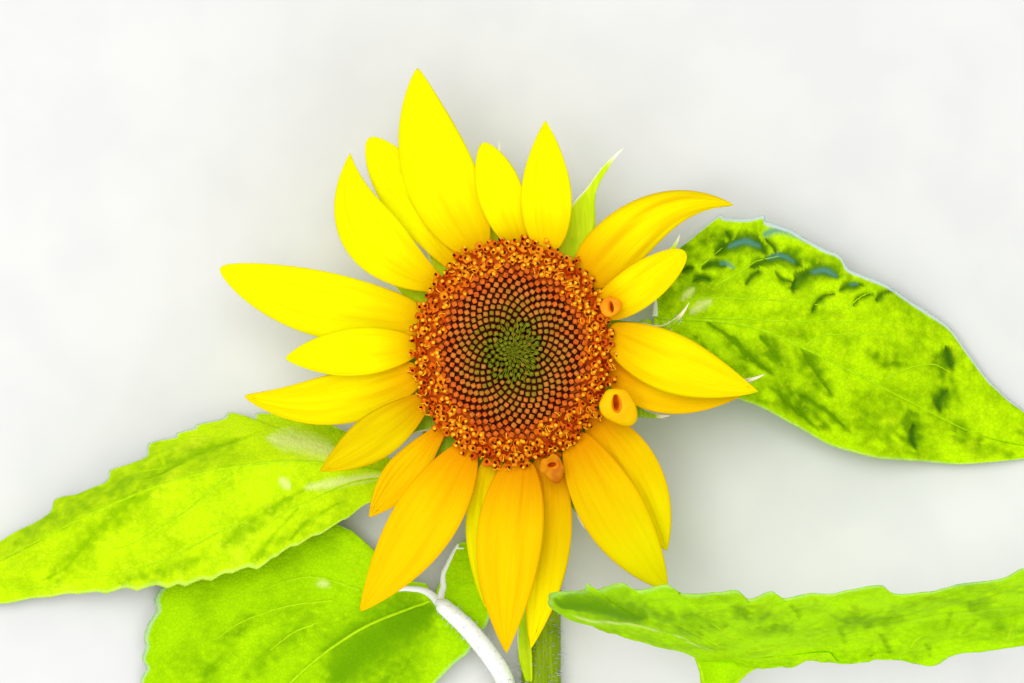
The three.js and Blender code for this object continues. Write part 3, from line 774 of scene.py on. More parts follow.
GROOVES = {
    "right": [
        [(62.1, 9.6), (70.1, 3.8), (74.9, -1), (82.9, -7)], [(79, 5.4), (82.2, 1.6), (85.4, -3.2)],
        [(92.5, 0.6), (96.6, -5.8), (101.4, -12.8)], [(85.4, -14.4), (92.5, -20.2), (98.2, -25.6)],
        [(91.8, -13.8), (99.8, -18.6), (107.8, -25.6)],
    ],
    "left": [
        [(-79.4, -25.3), (-90.6, -29.1), (-100.2, -32), (-108.8, -36.8), (-118.4, -41)],
        [(-118.4, -41), (-123.5, -48.3), (-135.4, -59.2), (-142.7, -68.8), (-150.4, -73)],
        [(-68.2, -49.6), (-77.8, -60.2), (-83.2, -68.8)], [(-53.8, -47.4), (-65, -53.8), (-71.4, -60.2)],
        [(-60.2, -41), (-71.4, -46.4), (-82.6, -53.8), (-92.2, -61.8)],
    ],
    "low": [
        [(-26.2, -79.4), (-36.2, -83.2), (-46.7, -86.7), (-58.6, -93.8), (-68.2, -103.4)],
    ],
    "front": [
        [(71, -80.3), (73.3, -82.6), (74.9, -85.1)], [(88.6, -80.3), (90.9, -82.6), (91.8, -85.1)],
        [(104, -87.4), (105.6, -89.9), (106.2, -92.8)], [(107.8, -79.4), (109.8, -81.9), (111, -84.5)],
        [(138.2, -88), (139.8, -84.8), (140.5, -81.3)], [(131.8, -92.2), (133.1, -94.7), (133.4, -97.3)],
        [(117.4, -89.6), (119.4, -92.8), (120.6, -96)], [(143.7, -89.6), (146.2, -87.4), (148.8, -85.1)],
    ],
}
# These rows start with a half width: deep folds in painted shade, bluish painted reflections of the
# sky where a blade turns up, painted highlights, and wide, soft painted shade between the veins.
SHADED_FOLDS = {
    "right": [
        (2, (65, 31.4), (68.2, 33.9), (73.3, 35.5), (78.4, 34.6), (81, 31.7)),
        (1.6, (76.5, 27.2), (79.7, 28.5), (84.2, 30.4), (88.6, 30.1), (92.2, 27.5)),
        (1.7, (89.9, 19.5), (90.6, 22.7), (95, 25.3), (100.2, 25.6), (104, 24)),
        (1.1, (104.6, 19.5), (107.2, 21.1), (111.7, 21.4)), (1.2, (60.5, 26.6), (64, 28.2), (68.2, 27.5)),
        (0.9, (53.8, 25.6), (56, 26.9), (57.9, 26.9)), (0.8, (57.6, 22.7), (60.5, 23.7), (63.4, 23)),
        (0.7, (74.5, 21.5), (77, 24.5), (79.5, 26)), (0.6, (84, 25.5), (86, 23.4), (89, 22.6)),
        (0.6, (109, 14.5), (111, 17.4), (115.5, 18.6)), (0.6, (68, 38.6), (69.5, 36.8), (69.4, 34.6)),
        (0.6, (95.6, 12.6), (99, 17.4), (103, 18.6)), (0.6, (81, 36), (83.6, 33.6), (84.6, 31)),
        (0.6, (116, 16), (118.6, 19), (122, 19.6)), (1.5, (138.6, 1.6), (139.8, -2), (140.6, -5)),
        (1.3, (139, -12.4), (136.4, -16), (136.8, -19)), (1.2, (128, -23), (127.4, -27), (129, -31)),
    ],
    "low": [
        (6, (-26.6, -82.2), (-37.8, -88.3), (-49, -96), (-57, -105)),
    ],
    "front": [
        (1.5, (14.6, -79.6), (24, -80.6), (33, -82.4), (42, -84.4)),
    ],
}
REFLECTIONS = {
    "right": [
        (1.1, (69, 33.6), (74.2, 35.4), (79.4, 33.8)), (1, (81, 29.9), (86, 30.8), (90.6, 28.6)),
        (1, (95.4, 25.4), (100.4, 26), (104, 24)), (0.6, (107.8, 21.4), (109.4, 21.8), (111, 21.4)),
        (1.6, (80, 37.4), (85, 39.2), (90.6, 38), (94, 35.6)), (0.7, (66, 28.4), (68.6, 28.2), (70.8, 27)),
    ],
    "front": [
        (1.1, (119, -75.2), (125.4, -75.5), (138.2, -74.2), (144.6, -73.6), (155.8, -71.4)),
    ],
}
HIGHLIGHTS = {
    "right": [
        (1.3, (56.6, 12.5), (59.8, 14.7), (63.7, 16.6)), (1, (54.1, 16.6), (56, 18.6), (57.9, 20.2)),
    ],
    "left": [
        (3, (-78, -28), (-68.2, -29.1), (-56, -33)), (1.3, (-74.6, -40.3), (-73, -41.9), (-71.4, -43.5)),
        (1.5, (-66.6, -43.5), (-55.4, -41.6), (-41, -39.4)),
    ],
    "low": [
        (1.2, (-62.4, -73.9), (-60.8, -74.2), (-59.2, -74.6)),
    ],
    "front": [
        (0.45, (17, -83.6), (26, -85.4), (36, -86.8), (46, -88.8), (57, -92.5), (64, -95.4)),
    ],
}
SHADES = {
    "right": [
        (5, (139.4, 0.6), (136, -6), (138.5, -12), (137, -18)), (3, (127, -19), (128.2, -28)),
        (3.4, (140, -22), (144, -26), (150, -28)), (3.5, (141, -27), (150, -31), (160, -33)),
        (2, (62.1, 9.6), (70.1, 3.8), (74.9, -1), (82.9, -7)), (2, (79, 5.4), (82.2, 1.6), (86, -4)),
        (3, (92.5, 0.6), (96.6, -5.8), (102, -14)), (2.8, (82, -11), (91, -17), (101, -25)),
        (2.4, (91.8, -13.8), (99.8, -18.6), (107.8, -25.6)), (2.4, (52, 33), (62, 36), (70, 38.6)),
        (2.2, (88, 33), (98, 29), (108, 24)), (2.2, (112, 1), (118, -3), (126, -4)),
        (2.4, (150, 0), (156, -9), (162, -18)), (1.6, (58, 5), (66, -4), (73, -10)),
    ],
    "left": [
        (4.5, (-89, -28.6), (-111, -37), (-135.6, -48), (-159, -61)),
        (4, (-111, -37), (-118.5, -44), (-133, -58), (-148, -72)), (3, (-71, -47), (-84, -55), (-93, -62)),
        (2.6, (-64, -54), (-76, -61), (-84, -67)), (2.4, (-100, -66), (-112, -71), (-126, -74)),
        (3.4, (-134, -62), (-139, -67), (-146, -73)),
    ],
    "low": [
        (3.2, (-84, -84), (-93, -96), (-100, -110)), (3.4, (-62, -84), (-72, -92), (-86, -104)),
        (4, (-66, -112), (-78, -124), (-88, -142)), (3, (-40, -104), (-52, -116), (-64, -134)),
    ],
    "front": [
        (4, (14, -79), (26, -80), (38, -82), (50, -85), (60, -90)), (3, (70, -82), (80, -86), (90, -89)),
        (3, (102, -84), (114, -86), (126, -85)), (3, (54, -84), (61, -86.4), (68, -87.4)),
        (3, (146, -80), (152, -84), (158, -90)),
    ],
}
VEIN_REACH = 1
GROOVE_REACH = 0.8

LEAF_COLUMNS = 96
LEAF_STEPS = 252
LINE_STEPS = 40

# Radii at the foot and at the tip, and how far above the middle of the blade they lie.
MIDRIB = (0.6, 0.2)
SIDE_VEIN = (0.4, 0.14)
VEIN_LIFT = 0.22
FORK_LIFT = 0.3


def seen(point):
    """Where the camera sees a point, in the plane of the bloom."""
    span = (CAMERA_AT.z - DISC_TOP) / (CAMERA_AT.z - point.z)
    return Vector((mix(CAMERA_AT.x, point.x, span), mix(CAMERA_AT.y, point.y, span), 0))


def in_view(x, y, z):
    """The point at a height that the camera sees at a place in the plane of the bloom."""
    span = (CAMERA_AT.z - z) / (CAMERA_AT.z - DISC_TOP)
    return (mix(CAMERA_AT.x, x, span), mix(CAMERA_AT.y, y, span), z)


def search_tree(spots):
    tree = kdtree.KDTree(max(len(spots), 1))
    for i, spot in enumerate(spots):
        tree.insert(spot, i)
    tree.balance()
    return tree


class Lines:
    """Lines drawn over a leaf as the camera sees it, each with a half width that fades at its ends."""

    def __init__(self, rows):
        spots, self.widths = [], []
        for wide, *points in rows:
            for i, spot in enumerate(flat_curve(points).steps(LINE_STEPS)):
                spots.append(spot)
                self.widths.append(wide * (0.25 + 0.75 * math.sin(math.pi * i / LINE_STEPS) ** 0.5))
        self.tree = search_tree(spots)

    def distance(self, spot):
        """How many half widths a spot lies from the nearest line."""
        if not self.widths:
            return 99.0
        _, i, far = self.tree.find(spot)
        return far / self.widths[i]

    def share(self, spot, core, reach):
        """1 on a line and 0 well beside it, with a ragged rim."""
        ragged = 1 + 0.35 * noise.noise(spot * 0.5)
        return 1 - smooth(core, reach, self.distance(spot) * ragged)


def leaf_lift(leaf, spot, x, near, groove, fold):
    """How high a spot swells between the veins, and how deep in shade it lies."""
    along, side, _ = blade_frame(leaf.spine, 0.4, leaf.up)
    flat = Vector((spot.dot(along) / 1.5, spot.dot(side), leaf.seed * 9)) / leaf.cell
    flat += 0.7 * noise.noise_vector(flat * 0.55)
    edges = noise.voronoi(flat)[0]
    swell = smooth(0.0, 0.75, edges[1] - edges[0])
    quilted = smooth(-0.3, 0.3, noise.noise(flat * 0.4 + Vector((5, 0, 0))))
    calm = smooth(0.0, 4.5, near) * smooth(0.0, 0.09, abs(x))
    fine = noise.noise(spot * 0.5)
    broad = noise.noise(spot * 0.1 + Vector((leaf.seed, 0, 0)))
    rise = 0.5 * calm * (1 + quilted * swell + 0.5 * fine) + 0.8 * broad
    # Painted shade, deepest in the grooves, near the veins and between the swellings.
    shade = 0.2 * (1 - calm) + 0.4 * leaf.quilt * quilted * (1 - swell) * calm
    shade += 0.6 * groove - 0.3 * broad + 0.35 * fine
    return leaf.quilt * (rise - 0.55 - 0.5 * groove - 0.8 * fold), shade


def leaf_blade(side):
    leaf = LEAVES[side]
    shape = blade_grid(LEAF_COLUMNS, LEAF_STEPS)
    told = {name: shape.verts.layers.float.new(name) for name in ("crease", "fold", "cool", "sheen")}
    veins = Lines([(VEIN_REACH, *points) for points in VEINS[side]])
    grooves = Lines([(GROOVE_REACH, *points) for points in GROOVES[side]])
    shaded_folds, reflections, highlights, shades = (Lines(rows.get(side, [])) for rows in (SHADED_FOLDS, REFLECTIONS, HIGHLIGHTS, SHADES))
    for vert in shape.verts:
        x, u = vert.co.x, (vert.co.y + 1) / 2
        spot, normal = leaf.stand(u, x)
        view = seen(spot)
        groove, fold = grooves.share(view, 0, 1.6), shaded_folds.share(view, 0.1, 2.4)
        lift, shade = leaf_lift(leaf, spot, x, veins.distance(view), groove, fold)
        patch = shades.share(view, 0, 1.7) * (0.75 + 0.9 * noise.noise(view * 0.33))
        fade = smooth(0, 0.1, u) * (1 - smooth(0.95, 1, u)) * mix(1, 0.5, smooth(0.9, 1, abs(x)))
        # Painted shade: creases, soft patches between the veins, and the ground round the deep folds.
        vert[told["crease"]] = clamp(shade * fade + 0.8 * patch + 0.6 * shaded_folds.share(view, 0, 4))
        # Where a fold's painted shade lies; the same share also sinks the surface there.
        vert[told["fold"]] = fold ** 1.4
        # Where a painted sky reflection lies.
        vert[told["cool"]] = reflections.share(view, 0.1, 1.5)
        # Where a painted highlight lies.
        vert[told["sheen"]] = highlights.share(view, 0, 1.8)
        vert.co = spot + normal * (lift * fade)
    corners = [vert.co.copy() for vert in shape.verts]
    bmesh.ops.remove_doubles(shape, verts=shape.verts, dist=JOIN)
    finishes = [f"leaf_{side}_top", "leaf_underside"]
    made = piece(f"leaf_{side}_blade", shape, finishes, "leaf", f"leaf_{side}")
    thicken(made, LEAF_THICKNESS, 0 if side == "front" else 1)
    leaf_veins(side, search_tree([seen(corner) for corner in corners]), corners)


def on_blade(tree, corners, view):
    """The spot of a blade that the camera sees at a place."""
    near = tree.find_n(view, 4)
    shares = [1 / (far + 0.05) for _, _, far in near]
    total = sum(shares)
    return sum((corners[i] * share for (_, i, _), share in zip(near, shares)), Vector()) / total


def leaf_veins(side, tree, corners):
    """Thin pale veins that lie along the blade, and the ribs that its stalk forks into."""
    pattern = cone_pattern(6, 72)

    def ribs_piece(name, runs, lift, power, finish):
        shape = bmesh.new()
        for foot, tip, views in runs:
            path = Curve([on_blade(tree, corners, view) + UP * lift for view in views])
            lay(shape, pattern, limb_rule(path, narrowing(foot, tip, power), UP))
        piece(f"leaf_{side}_{name}", shape, [finish], "leaf")

    spine = LEAVES[side].spine
    runs = [(*SIDE_VEIN, flat_curve(points).steps(30)) for points in VEINS[side]]
    if side != "front":
        runs.insert(0, (*MIDRIB, [seen(spine.point(0.005 + 0.98 * i / 48)) for i in range(49)]))
    ribs_piece("veins", runs, VEIN_LIFT, 1, "leaf_vein")
    if side in FORKS:
        forks = [(foot, tip, flat_curve(points).steps(12)) for foot, tip, *points in FORKS[side]]
        ribs_piece("ribs", forks, FORK_LIFT, 0.7, "stalk_pale_skin")


# The two raised veins of the front leaf's foot, as the camera sees them, each point with its height.
WEB_LEFT = [(57.4, -95, 33), (58.8, -98, 31), (60.4, -102, 30), (61.4, -107, 28), (64, -113, 28)]
WEB_RIGHT = [(84, -97, 37), (78, -100.4, 34), (73.4, -103.4, 31.5), (70.6, -107, 29), (70, -113, 28)]
WEB_ARCH = 4.4
WEB_RIB = (0.5, 1.3)


def leaf_web():
    """The foot of the front leaf, which narrows down along its stalk between two raised veins."""
    left, right = (Curve([in_view(*spot) for spot in row]) for row in (WEB_LEFT, WEB_RIGHT))

    def place(u, x):
        share = (x + 1) / 2
        spot = left.point(u).lerp(right.point(u), share)
        rise = 0.5 * noise.noise(spot * 0.3) + WEB_ARCH * math.sin(math.pi * share) * smooth(0, 0.3, u)
        return spot + UP * rise

    made = piece("leaf_front_web", bent_grid(16, 30, place), ["leaf_front_top"], "leaf")
    thicken(made, LEAF_THICKNESS)
    shape = bmesh.new()
    for rib in (left, right):
        lay(shape, cone_pattern(8, 40), limb_rule(rib, narrowing(*WEB_RIB), UP))
    piece("leaf_front_ribs", shape, ["leaf_vein"], "leaf")


# Rays. Each row gives where the ray leaves the rim, its tip, its width, where it is widest, how
# far it bows to its right, how far it hooks near its tip, how far it arches up, how far its edges
# cup, the layer it lies in, how slim it is, and its finish.
# The finishes carry painted light: brighter tones for lit petals, deeper ones for shaded petals.
RAYS = [
    (12, (78.6, -12.7, 50), 18.6, 0.43, 1.8, 0, 3, -1.5, 2, 0.9, "sun"),
    (25.5, (55.3, 32, 50), 13.6, 0.46, 1, -0.6, 2, 0.4, 3, 0.5, "sun"),
    (45.8, (71, 47.2, 46), 17.2, 0.31, -4.7, -3.6, 4, -1.6, 1, 0.85, "ribbed"),
    (71, (10.4, 74.2, 48), 16, 0.42, -0.2, 0, 2, 1, 3, 0.85, "lemon"),
    (87, (-9.8, 67.3, 46), 14.6, 0.5, -0.6, 0.6, 2, 0.8, 2, 0.62, "lemon"),
    (108.6, (-30.8, 91.3, 46), 23, 0.44, -4.2, 0, 1.6, 0.4, 1, 0.8, "lemon"),
    (123, (-46.6, 69.2, 42), 16.8, 0.58, -0.1, 0, 0.6, 0.6, 0, 0.6, "lemon"),
    (138, (-52.2, 63.8, 49), 19.2, 0.48, -7.6, -1.4, 3, 1, 1, 1, "lemon"),
    (161, (-94.6, 27.1, 44), 21, 0.47, -3, 0, 1.5, 1, 0, 0.64, "lemon"),
    (177, (-73, -2, 48), 15.2, 0.48, 0.1, 0, 2.5, 1, 1, 0.75, "lemon"),
    (192, (-86.7, -14.2, 43), 16.8, 0.42, -4.2, -1, 1.2, 1, 0, 0.8, "sun"),
    (208, (-62, -38.2, 49), 14.6, 0.48, -1, 0, 3.4, -2, 2, 0.9, "dull"),
    (227, (-46.4, -53.4, 43), 12.2, 0.55, 0.2, 0, 1, 0.8, 0, 0.9, "gold"),
    (245, (-49, -83.2, 49), 20.6, 0.45, -1.1, 0, 3, 1.4, 2, 0.85, "gold"),
    (259, (-9, -82.6, 42), 15, 0.45, 0, 0, 0.6, 0.6, 0, 0.9, "lemon"),
    (274.5, (-2, -96.4, 50), 20.8, 0.42, 1.9, 0, 3, 1.2, 2, 0.88, "gold"),
    (288, (5.6, -95.8, 43), 15.8, 0.42, -2.4, 0, 1, 0.8, 0, 0.9, "dawn"),
    (306, (49.4, -76, 49), 20.4, 0.48, 2, 0, 3, 1.2, 2, 0.75, "dawn"),
    (321, (49.6, -64.4, 42), 18.2, 0.46, -2.6, 0, 0.8, 0.6, 0, 0.85, "dawn"),
    (350, (74, -14, 43), 17, 0.42, 2.2, 0, 0.8, 0.6, 0, 0.9, "gold"),
]
RAY_COLUMNS = 26
RAY_STEPS = 70
RAY_ROOT = -1


def rim_point(angle, clearance=0.0):
    """Where a ray joins the side of the oval disc."""
    c, s = math.cos(math.radians(angle)), math.sin(math.radians(angle))
    radius = DISC_RX * DISC_RY / math.hypot(DISC_RY * c, DISC_RX * s) + clearance
    return Vector((radius * c, radius * s, 0))


def blade_rule(middle, step, edge, half_width, rim):
    """The rule that bends a flat grid along a middle line, by its half width and its rims' rise."""
    def place(u, x, lift=0.0):
        v = clamp(u, edge, 1 - edge)
        along = (middle(v + step) - middle(v - step)).normalized()
        right = along.cross(UP).normalized()
        return middle(u) + right * (half_width(u) * x) + right.cross(along) * (rim(u, x) + lift)

    return place


def ray_rule(at, tip, width, wide, bow, hook, arch, cup, layer, slim):
    """The rule of one ray petal."""
    base = rim_point(at, RAY_ROOT)
    base.z = PETAL_LAYER[layer]
    end = Vector(tip)
    sideways = (end - base).normalized().cross(UP).normalized()
    lean = math.log(0.5) / math.log(wide)

    def middle(u):
        rise = 4 * u * (1 - u)
        swing = bow * rise + hook * 6.75 * u * u * (1 - u)
        return base.lerp(end, u) + sideways * swing + UP * (arch * rise)

    def half_width(u):
        share = 0.3 * (1 - u) ** 4
        if 0 < u < 1:
            share += math.sin(math.pi * u ** lean) ** slim
        return 0.5 * width * (0 if u == 1 else share / 1.02)

    return blade_rule(middle, 0.01, 0, half_width, lambda u, x: cup * x * x * math.sin(math.pi * u))


def nerve_relief(u, x, seed):
    """Two lengthwise nerves and the fine pleats of a petal."""
    fade = math.sin(math.pi * clamp(u)) ** 0.5
    nerves = math.exp(-((abs(x) - 0.34) / 0.07) ** 2) + 0.6 * math.exp(-(x / 0.06) ** 2)
    pleats = noise.noise(Vector((x * 9 + seed, u * 1.4, seed)))
    sway = noise.noise(Vector((x * 1.6, u * 3.2 + seed, 4 + seed)))
    return fade * (-0.5 * nerves + 0.5 * pleats + 1.1 * sway)


def ray_pieces():
    for i, (*sizes, finish) in enumerate(RAYS):
        rule = ray_rule(*sizes)
        shape = bent_grid(
            RAY_COLUMNS, RAY_STEPS, lambda u, x: rule(u, x, nerve_relief(u, x, i * 2.3))
        )
        name = f"ray_{i + 1:02d}"
        made = piece(f"{name}_petal", shape, [f"petal_{finish}"], "petal", name)
        thicken(made, PETAL_THICKNESS)


# Rays that stayed rolled into small trumpets: where each leaves the rim and how far out, how
# high it starts, the middle of its mouth, its radius at the foot and at the lip, how far its
# throat lies off the middle, how long and which way its slit runs, how far and which way its lip
# is drawn out, how crumpled it is, and its finish.
ROLLED = [
    (333, 3, 43, (33.2, -17, 53.2), 2.4, 5.4, (-0.2, 1), 1.7, 96, 0.55, -42, 0.5, "rolled_petal"),
    (24.8, 2.6, 46, (31, 14.5, 52.6), 1.7, 3.3, (0.9, 0.1), 1.9, 100, 0.12, 0, 0.5, "budded_petal"),
    (289, 2.6, 43, (12.3, -36.6, 50.5), 2, 4, (0.1, 0.5), 1.2, 10, 0.25, -60, 1.3, "crumpled_petal"),
]
# The lip and the mouth that turns in from it: shares of the lip's radius and of the height.
TRUMPET_LIP = [
    (0.97, 0.84), (1, 0.91), (0.96, 0.98), (0.82, 1.03), (0.6, 1.04), (0.42, 1.02), (0.3, 0.96),
    (0.24, 0.88), (0.18, 0.78), (0.1, 0.72),
]
TRUMPET_SIDES = 44
TRUMPET_FOOT = 0.34
MOUTH_RADIUS = 0.44
THROAT_RADIUS = 0.31
BROADEST_LIP = 5.4
DRAWN_SPREAD = 38


def trumpet_piece(number, row):
    at, out, low, mouth, foot, lip, throat, slit, way, drawn, drawn_way, crumple, finish = row
    start = rim_point(at, out)
    start.z = low
    axis = Vector(mouth) - start
    height = axis.length
    profile = [(0.01, 0), (foot * 0.8, 0.02), (foot, 0.12), (mix(foot, lip, 0.3), 0.4)]
    profile += [(mix(foot, lip, 0.7), 0.66), *((lip * r, h) for r, h in TRUMPET_LIP), (0.01, 0.7)]
    shape = spun([(r, h * height) for r, h in profile], TRUMPET_SIDES, JOIN * 5)
    turn = axis.to_track_quat("Z", "Y")
    slit_turn = Matrix.Rotation(math.radians(way), 2)
    depth = {}
    for vert in shape.verts:
        x, y, z = vert.co
        radius, angle, h = math.hypot(x, y), math.degrees(math.atan2(y, x)), z / height
        inside = [h >= TRUMPET_FOOT and radius <= share * lip for share in (MOUTH_RADIUS, THROAT_RADIUS)]
        depth[vert] = sum(inside)
        inner = 1 - smooth(0.14 * lip, 0.7 * lip, radius) if h > TRUMPET_FOOT else 0
        along = slit_turn.transposed() @ Vector((x, y))
        along.x *= mix(1, slit, inner)
        along.y *= mix(1, 0.5, inner)
        spot = slit_turn @ along + Vector(throat) * (inner * lip / BROADEST_LIP)
        away = abs((angle - drawn_way + 180) % 360 - 180)
        pull = math.exp(-(away / DRAWN_SPREAD) ** 2) * smooth(0.55, 1, radius / lip) * smooth(0.5, 0.9, h)
        spot *= 1 + drawn * pull
        sway = noise.noise(Vector((x * 0.35, y * 0.35, number * 5)))
        spot *= 1 + 0.35 * crumple * noise.noise(Vector((x * 0.28, y * 0.28, number))) * smooth(0.4, 0.9, h)
        tilt = turn.slerp(Quaternion(), smooth(0.35, 0.85, h))
        vert.co = start + axis * h + tilt @ Vector((*spot, 0))
        vert.co.z += crumple * sway * lip / 4 * smooth(0.5, 0.9, h) - 1.1 * drawn * pull
    # Faces in the mouth and deeper in the throat take painted shade.
    for face in shape.faces:
        face.material_index = min(depth[vert] for vert in face.verts)
    finishes = [finish, "rolled_mouth", "rolled_throat"]
    piece(f"rolled_petal_{number}", shape, finishes, "petal", f"rolled_ray_{number}")


# Disc.
DISC_FACE = [
    (DISC_RX, DISC_RIM), (30.6, 47.2), (27.5, 49.2), (22, 50.4), (15, DISC_TOP), (7, 50.2), (0, 49.8),
]
FLORETS = 860
BUD_RADIUS = 23.6
FLORET_SINK = 2.2
FIRST_BUD = 6
SCALES = 190
SCALE_RADIUS = 9.6
SCALE_FOOT = 48.8


def face_height(radius):
    for (outer, high), (inner, low) in zip(DISC_FACE, DISC_FACE[1:]):
        if radius >= inner:
            return mix(low, high, (radius - inner) / (outer - inner))
    return DISC_TOP


def on_oval(radius, angle, height):
    """A spot round the disc's axis, stretched to its oval."""
    return Vector((radius * math.cos(angle), radius * math.sin(angle) * DISC_RY / DISC_RX, height))


def oval_body(profile):
    shape = spun(profile, 96)
    bmesh.ops.scale(shape, vec=(1, DISC_RY / DISC_RX, 1), verts=shape.verts)
    return shape


def disc_bed():
    base = CUP_FLOOR + GAP
    profile = [(0, base), (19, base + 1.2), (27.3, base + 4.7), (29.6, base + 7.4), (DISC_RX - 0.8, 39.4)]
    profile += [(r * 0.985, h - FLORET_SINK) for r, h in DISC_FACE]
    shape = oval_body(profile)
    for face in shape.faces:
        spot = face.calc_center_median()
        if math.hypot(spot.x, spot.y * DISC_RX / DISC_RY) > BUD_RADIUS:
            face.material_index = 1
    piece("disc_bed", shape, ["bud_gap", "ring_bed"], "disc", "disc")


def rounds(shape, rings, sides, finishes):
    """Builds a small turned body from rings of (radius, height) by extruding its lowest ring."""
    made = bmesh.ops.create_circle(shape, cap_ends=True, segments=sides, radius=rings[0][0])
    bmesh.ops.translate(shape, vec=(0, 0, rings[0][1]), verts=made["verts"])
    edges = list({edge for vert in made["verts"] for edge in vert.link_edges})
    for (radius, height), (before, low), finish in zip(rings[1:], rings, finishes):
        known = set(shape.faces)
        grown = bmesh.ops.extrude_edge_only(shape, edges=edges)["geom"]
        verts = [item for item in grown if isinstance(item, bmesh.types.BMVert)]
        edges = [item for item in grown if isinstance(item, bmesh.types.BMEdge)]
        for face in set(shape.faces) - known:
            face.material_index = finish
        bmesh.ops.scale(shape, vec=(radius / before, radius / before, 1), verts=verts)
        bmesh.ops.translate(shape, vec=(0, 0, height - low), verts=verts)
    for face in bmesh.ops.holes_fill(shape, edges=edges, sides=0)["faces"]:
        face.material_index = finishes[-1]


def bud_pattern(band):
    """A closed floret: a lozenge of a bud with a bright, rounded top."""
    shape = bmesh.new()
    rings = [(0.86, 0), (0.94, 1.0), (0.96, 1.8), (0.84, 2.3), (0.5, 2.56), (0.16, 2.62)]
    rounds(shape, rings, 8, [0, 0, band, band, band])
    for vert in shape.verts:
        if vert.co.z > 0.5:
            vert.co.xy *= 1 + 0.1 * math.cos(4 * math.atan2(vert.co.y, vert.co.x))
    bmesh.ops.recalc_face_normals(shape, faces=shape.faces)
    return mesh_of(shape, f"bud_{band}")


def open_pattern(kind, tone, seed):
    """An open floret: a tube with five pointed lobes, dark anthers, and pollen or a forked stigma."""
    shape = bmesh.new()
    rings = [(0.7, -1.6), (0.8, 0.3), (0.9, 1.4), (1.35, 2.1), (0.8, 2.0), (0.5, 1.8), (0.3, 1.7)]
    rounds(shape, rings, 10, [tone] * 6)
    for vert in shape.verts:
        if vert.co.xy.length > 1.2:
            angle = math.atan2(vert.co.y, vert.co.x)
            chance = noise.noise(Vector((2.3 * math.cos(angle), 2.3 * math.sin(angle), seed * 3.1 + 0.4)))
            lobe = math.cos(5 * angle)
            vert.co.xy *= 1 + 0.5 * lobe + 0.8 * chance
            vert.co.z += 1.5 * chance + 0.25 * lobe
    known = set(shape.verts)
    rounds(shape, [(0.36, 0.5), (0.42, 2.0), (0.5, 2.7), (0.36, 2.9), (0.16, 2.6)], 8, [tone, 3, 3, 3])
    bmesh.ops.translate(shape, vec=(-0.36, -0.1, 0), verts=list(set(shape.verts) - known))
    if kind == "pollen":
        place = Matrix.Translation((0.5, 0.12, 2.6))
        made = bmesh.ops.create_icosphere(shape, subdivisions=1, radius=0.74, matrix=place)
        for face in {face for vert in made["verts"] for face in vert.link_faces}:
            face.material_index = 4
    if kind == "forked":
        for way in (-1, 1):
            arm = Curve([(0.2, 0, 2.4), (0.2 * way, 0, 3.2), (0.9 * way, 0.1, 3.7), (1.1 * way, 0.3, 3.1)])
            lay(shape, cone_pattern(4, 5), limb_rule(arm, narrowing(0.26, 0.16), Vector((0, 1, 0))), 4)
    bmesh.ops.recalc_face_normals(shape, faces=shape.faces)
    return mesh_of(shape, f"open_{kind}_{tone}_{seed}")


def florets(opened):
    """The number, spot and radius of each floret that has opened, as the outer ones do, or hasn't."""
    for i in range(FLORETS):
        radius = DISC_RX * ((i + 0.5) / FLORETS) ** 0.6
        edge = BUD_RADIUS + 2.6 * noise.noise(Vector((i * 7.31, 0.5, 0.5)))
        if (radius > edge) == opened:
            yield i, on_oval(radius, i * GOLDEN_ANGLE, face_height(radius) - FLORET_SINK), radius


def lay_floret(shape, pattern, spot, lean, turn, wide, tall):
    """Stands a floret on the disc, leaning by an angle away from the middle."""
    outward = Vector((spot.x, spot.y, 0)).normalized()
    axis = (UP * math.cos(lean) + outward * math.sin(lean)).normalized()
    upright = axis.to_track_quat("Z", "Y").to_matrix().to_4x4()
    size = Matrix.Diagonal((wide, wide, tall, 1))
    place = Matrix.Translation(spot) @ upright @ Matrix.Rotation(turn, 4, "Z") @ size
    lay(shape, pattern, lambda corner: place @ corner)


def disc_buds():
    chance = random.Random(7)
    patterns = [bud_pattern(band + 1) for band in range(len(BUDS))]
    shape = bmesh.new()
    for i, spot, radius in florets(opened=False):
        if i < FIRST_BUD:
            continue
        share = (radius - 4) / (BUD_RADIUS - 4) + chance.uniform(-0.12, 0.12)
        band = int(clamp(share * len(BUDS), 0, len(BUDS) - 1))
        lean = 0.02 - 0.6 * (1 - smooth(4, 14, radius)) + 0.25 * smooth(16, 26, radius)
        wide = 1.04 * (radius / 25) ** 0.2 * chance.uniform(0.94, 1.04)
        tall = mix(1.2, 0.98, smooth(5, 13, radius)) * chance.uniform(0.93, 1.07)
        turn = 0.3 + chance.uniform(-0.25, 0.25)
        lay_floret(shape, patterns[band], spot, lean, turn, wide, tall)
    piece("disc_buds", shape, ["bud_gap", *BUDS], "disc")


def disc_centre():
    """Fine green scales that lean in over the youngest buds, the longest of them from the right."""
    chance = random.Random(11)
    shape = bmesh.new()
    pattern = cone_pattern(5, 6)
    for i in range(SCALES):
        radius = SCALE_RADIUS * ((i + 0.5) / SCALES) ** 0.55
        angle = i * GOLDEN_ANGLE + chance.uniform(-0.2, 0.2)
        foot = on_oval(radius, angle, SCALE_FOOT)
        inward = -Vector((foot.x, foot.y, 0)).normalized()
        side = clamp(0.5 + 0.5 * math.cos(angle - 0.2))
        reach = inward * chance.uniform(0.8, 1.5) * mix(0.7, 2.1, side) + jitter(chance, 0.35)
        tip = foot + reach + UP * chance.uniform(2.2, 3)
        curve = Curve([foot, foot + reach * 0.3 + UP * 1.5, tip])
        rule = limb_rule(curve, narrowing(0.36, 0.06, 1.4), Vector((0.3, 1, 0)))
        lay(shape, pattern, rule, chance.choice((0, 0, 1)))
    piece("disc_centre", shape, ["bud_green", "centre_scale"], "disc")


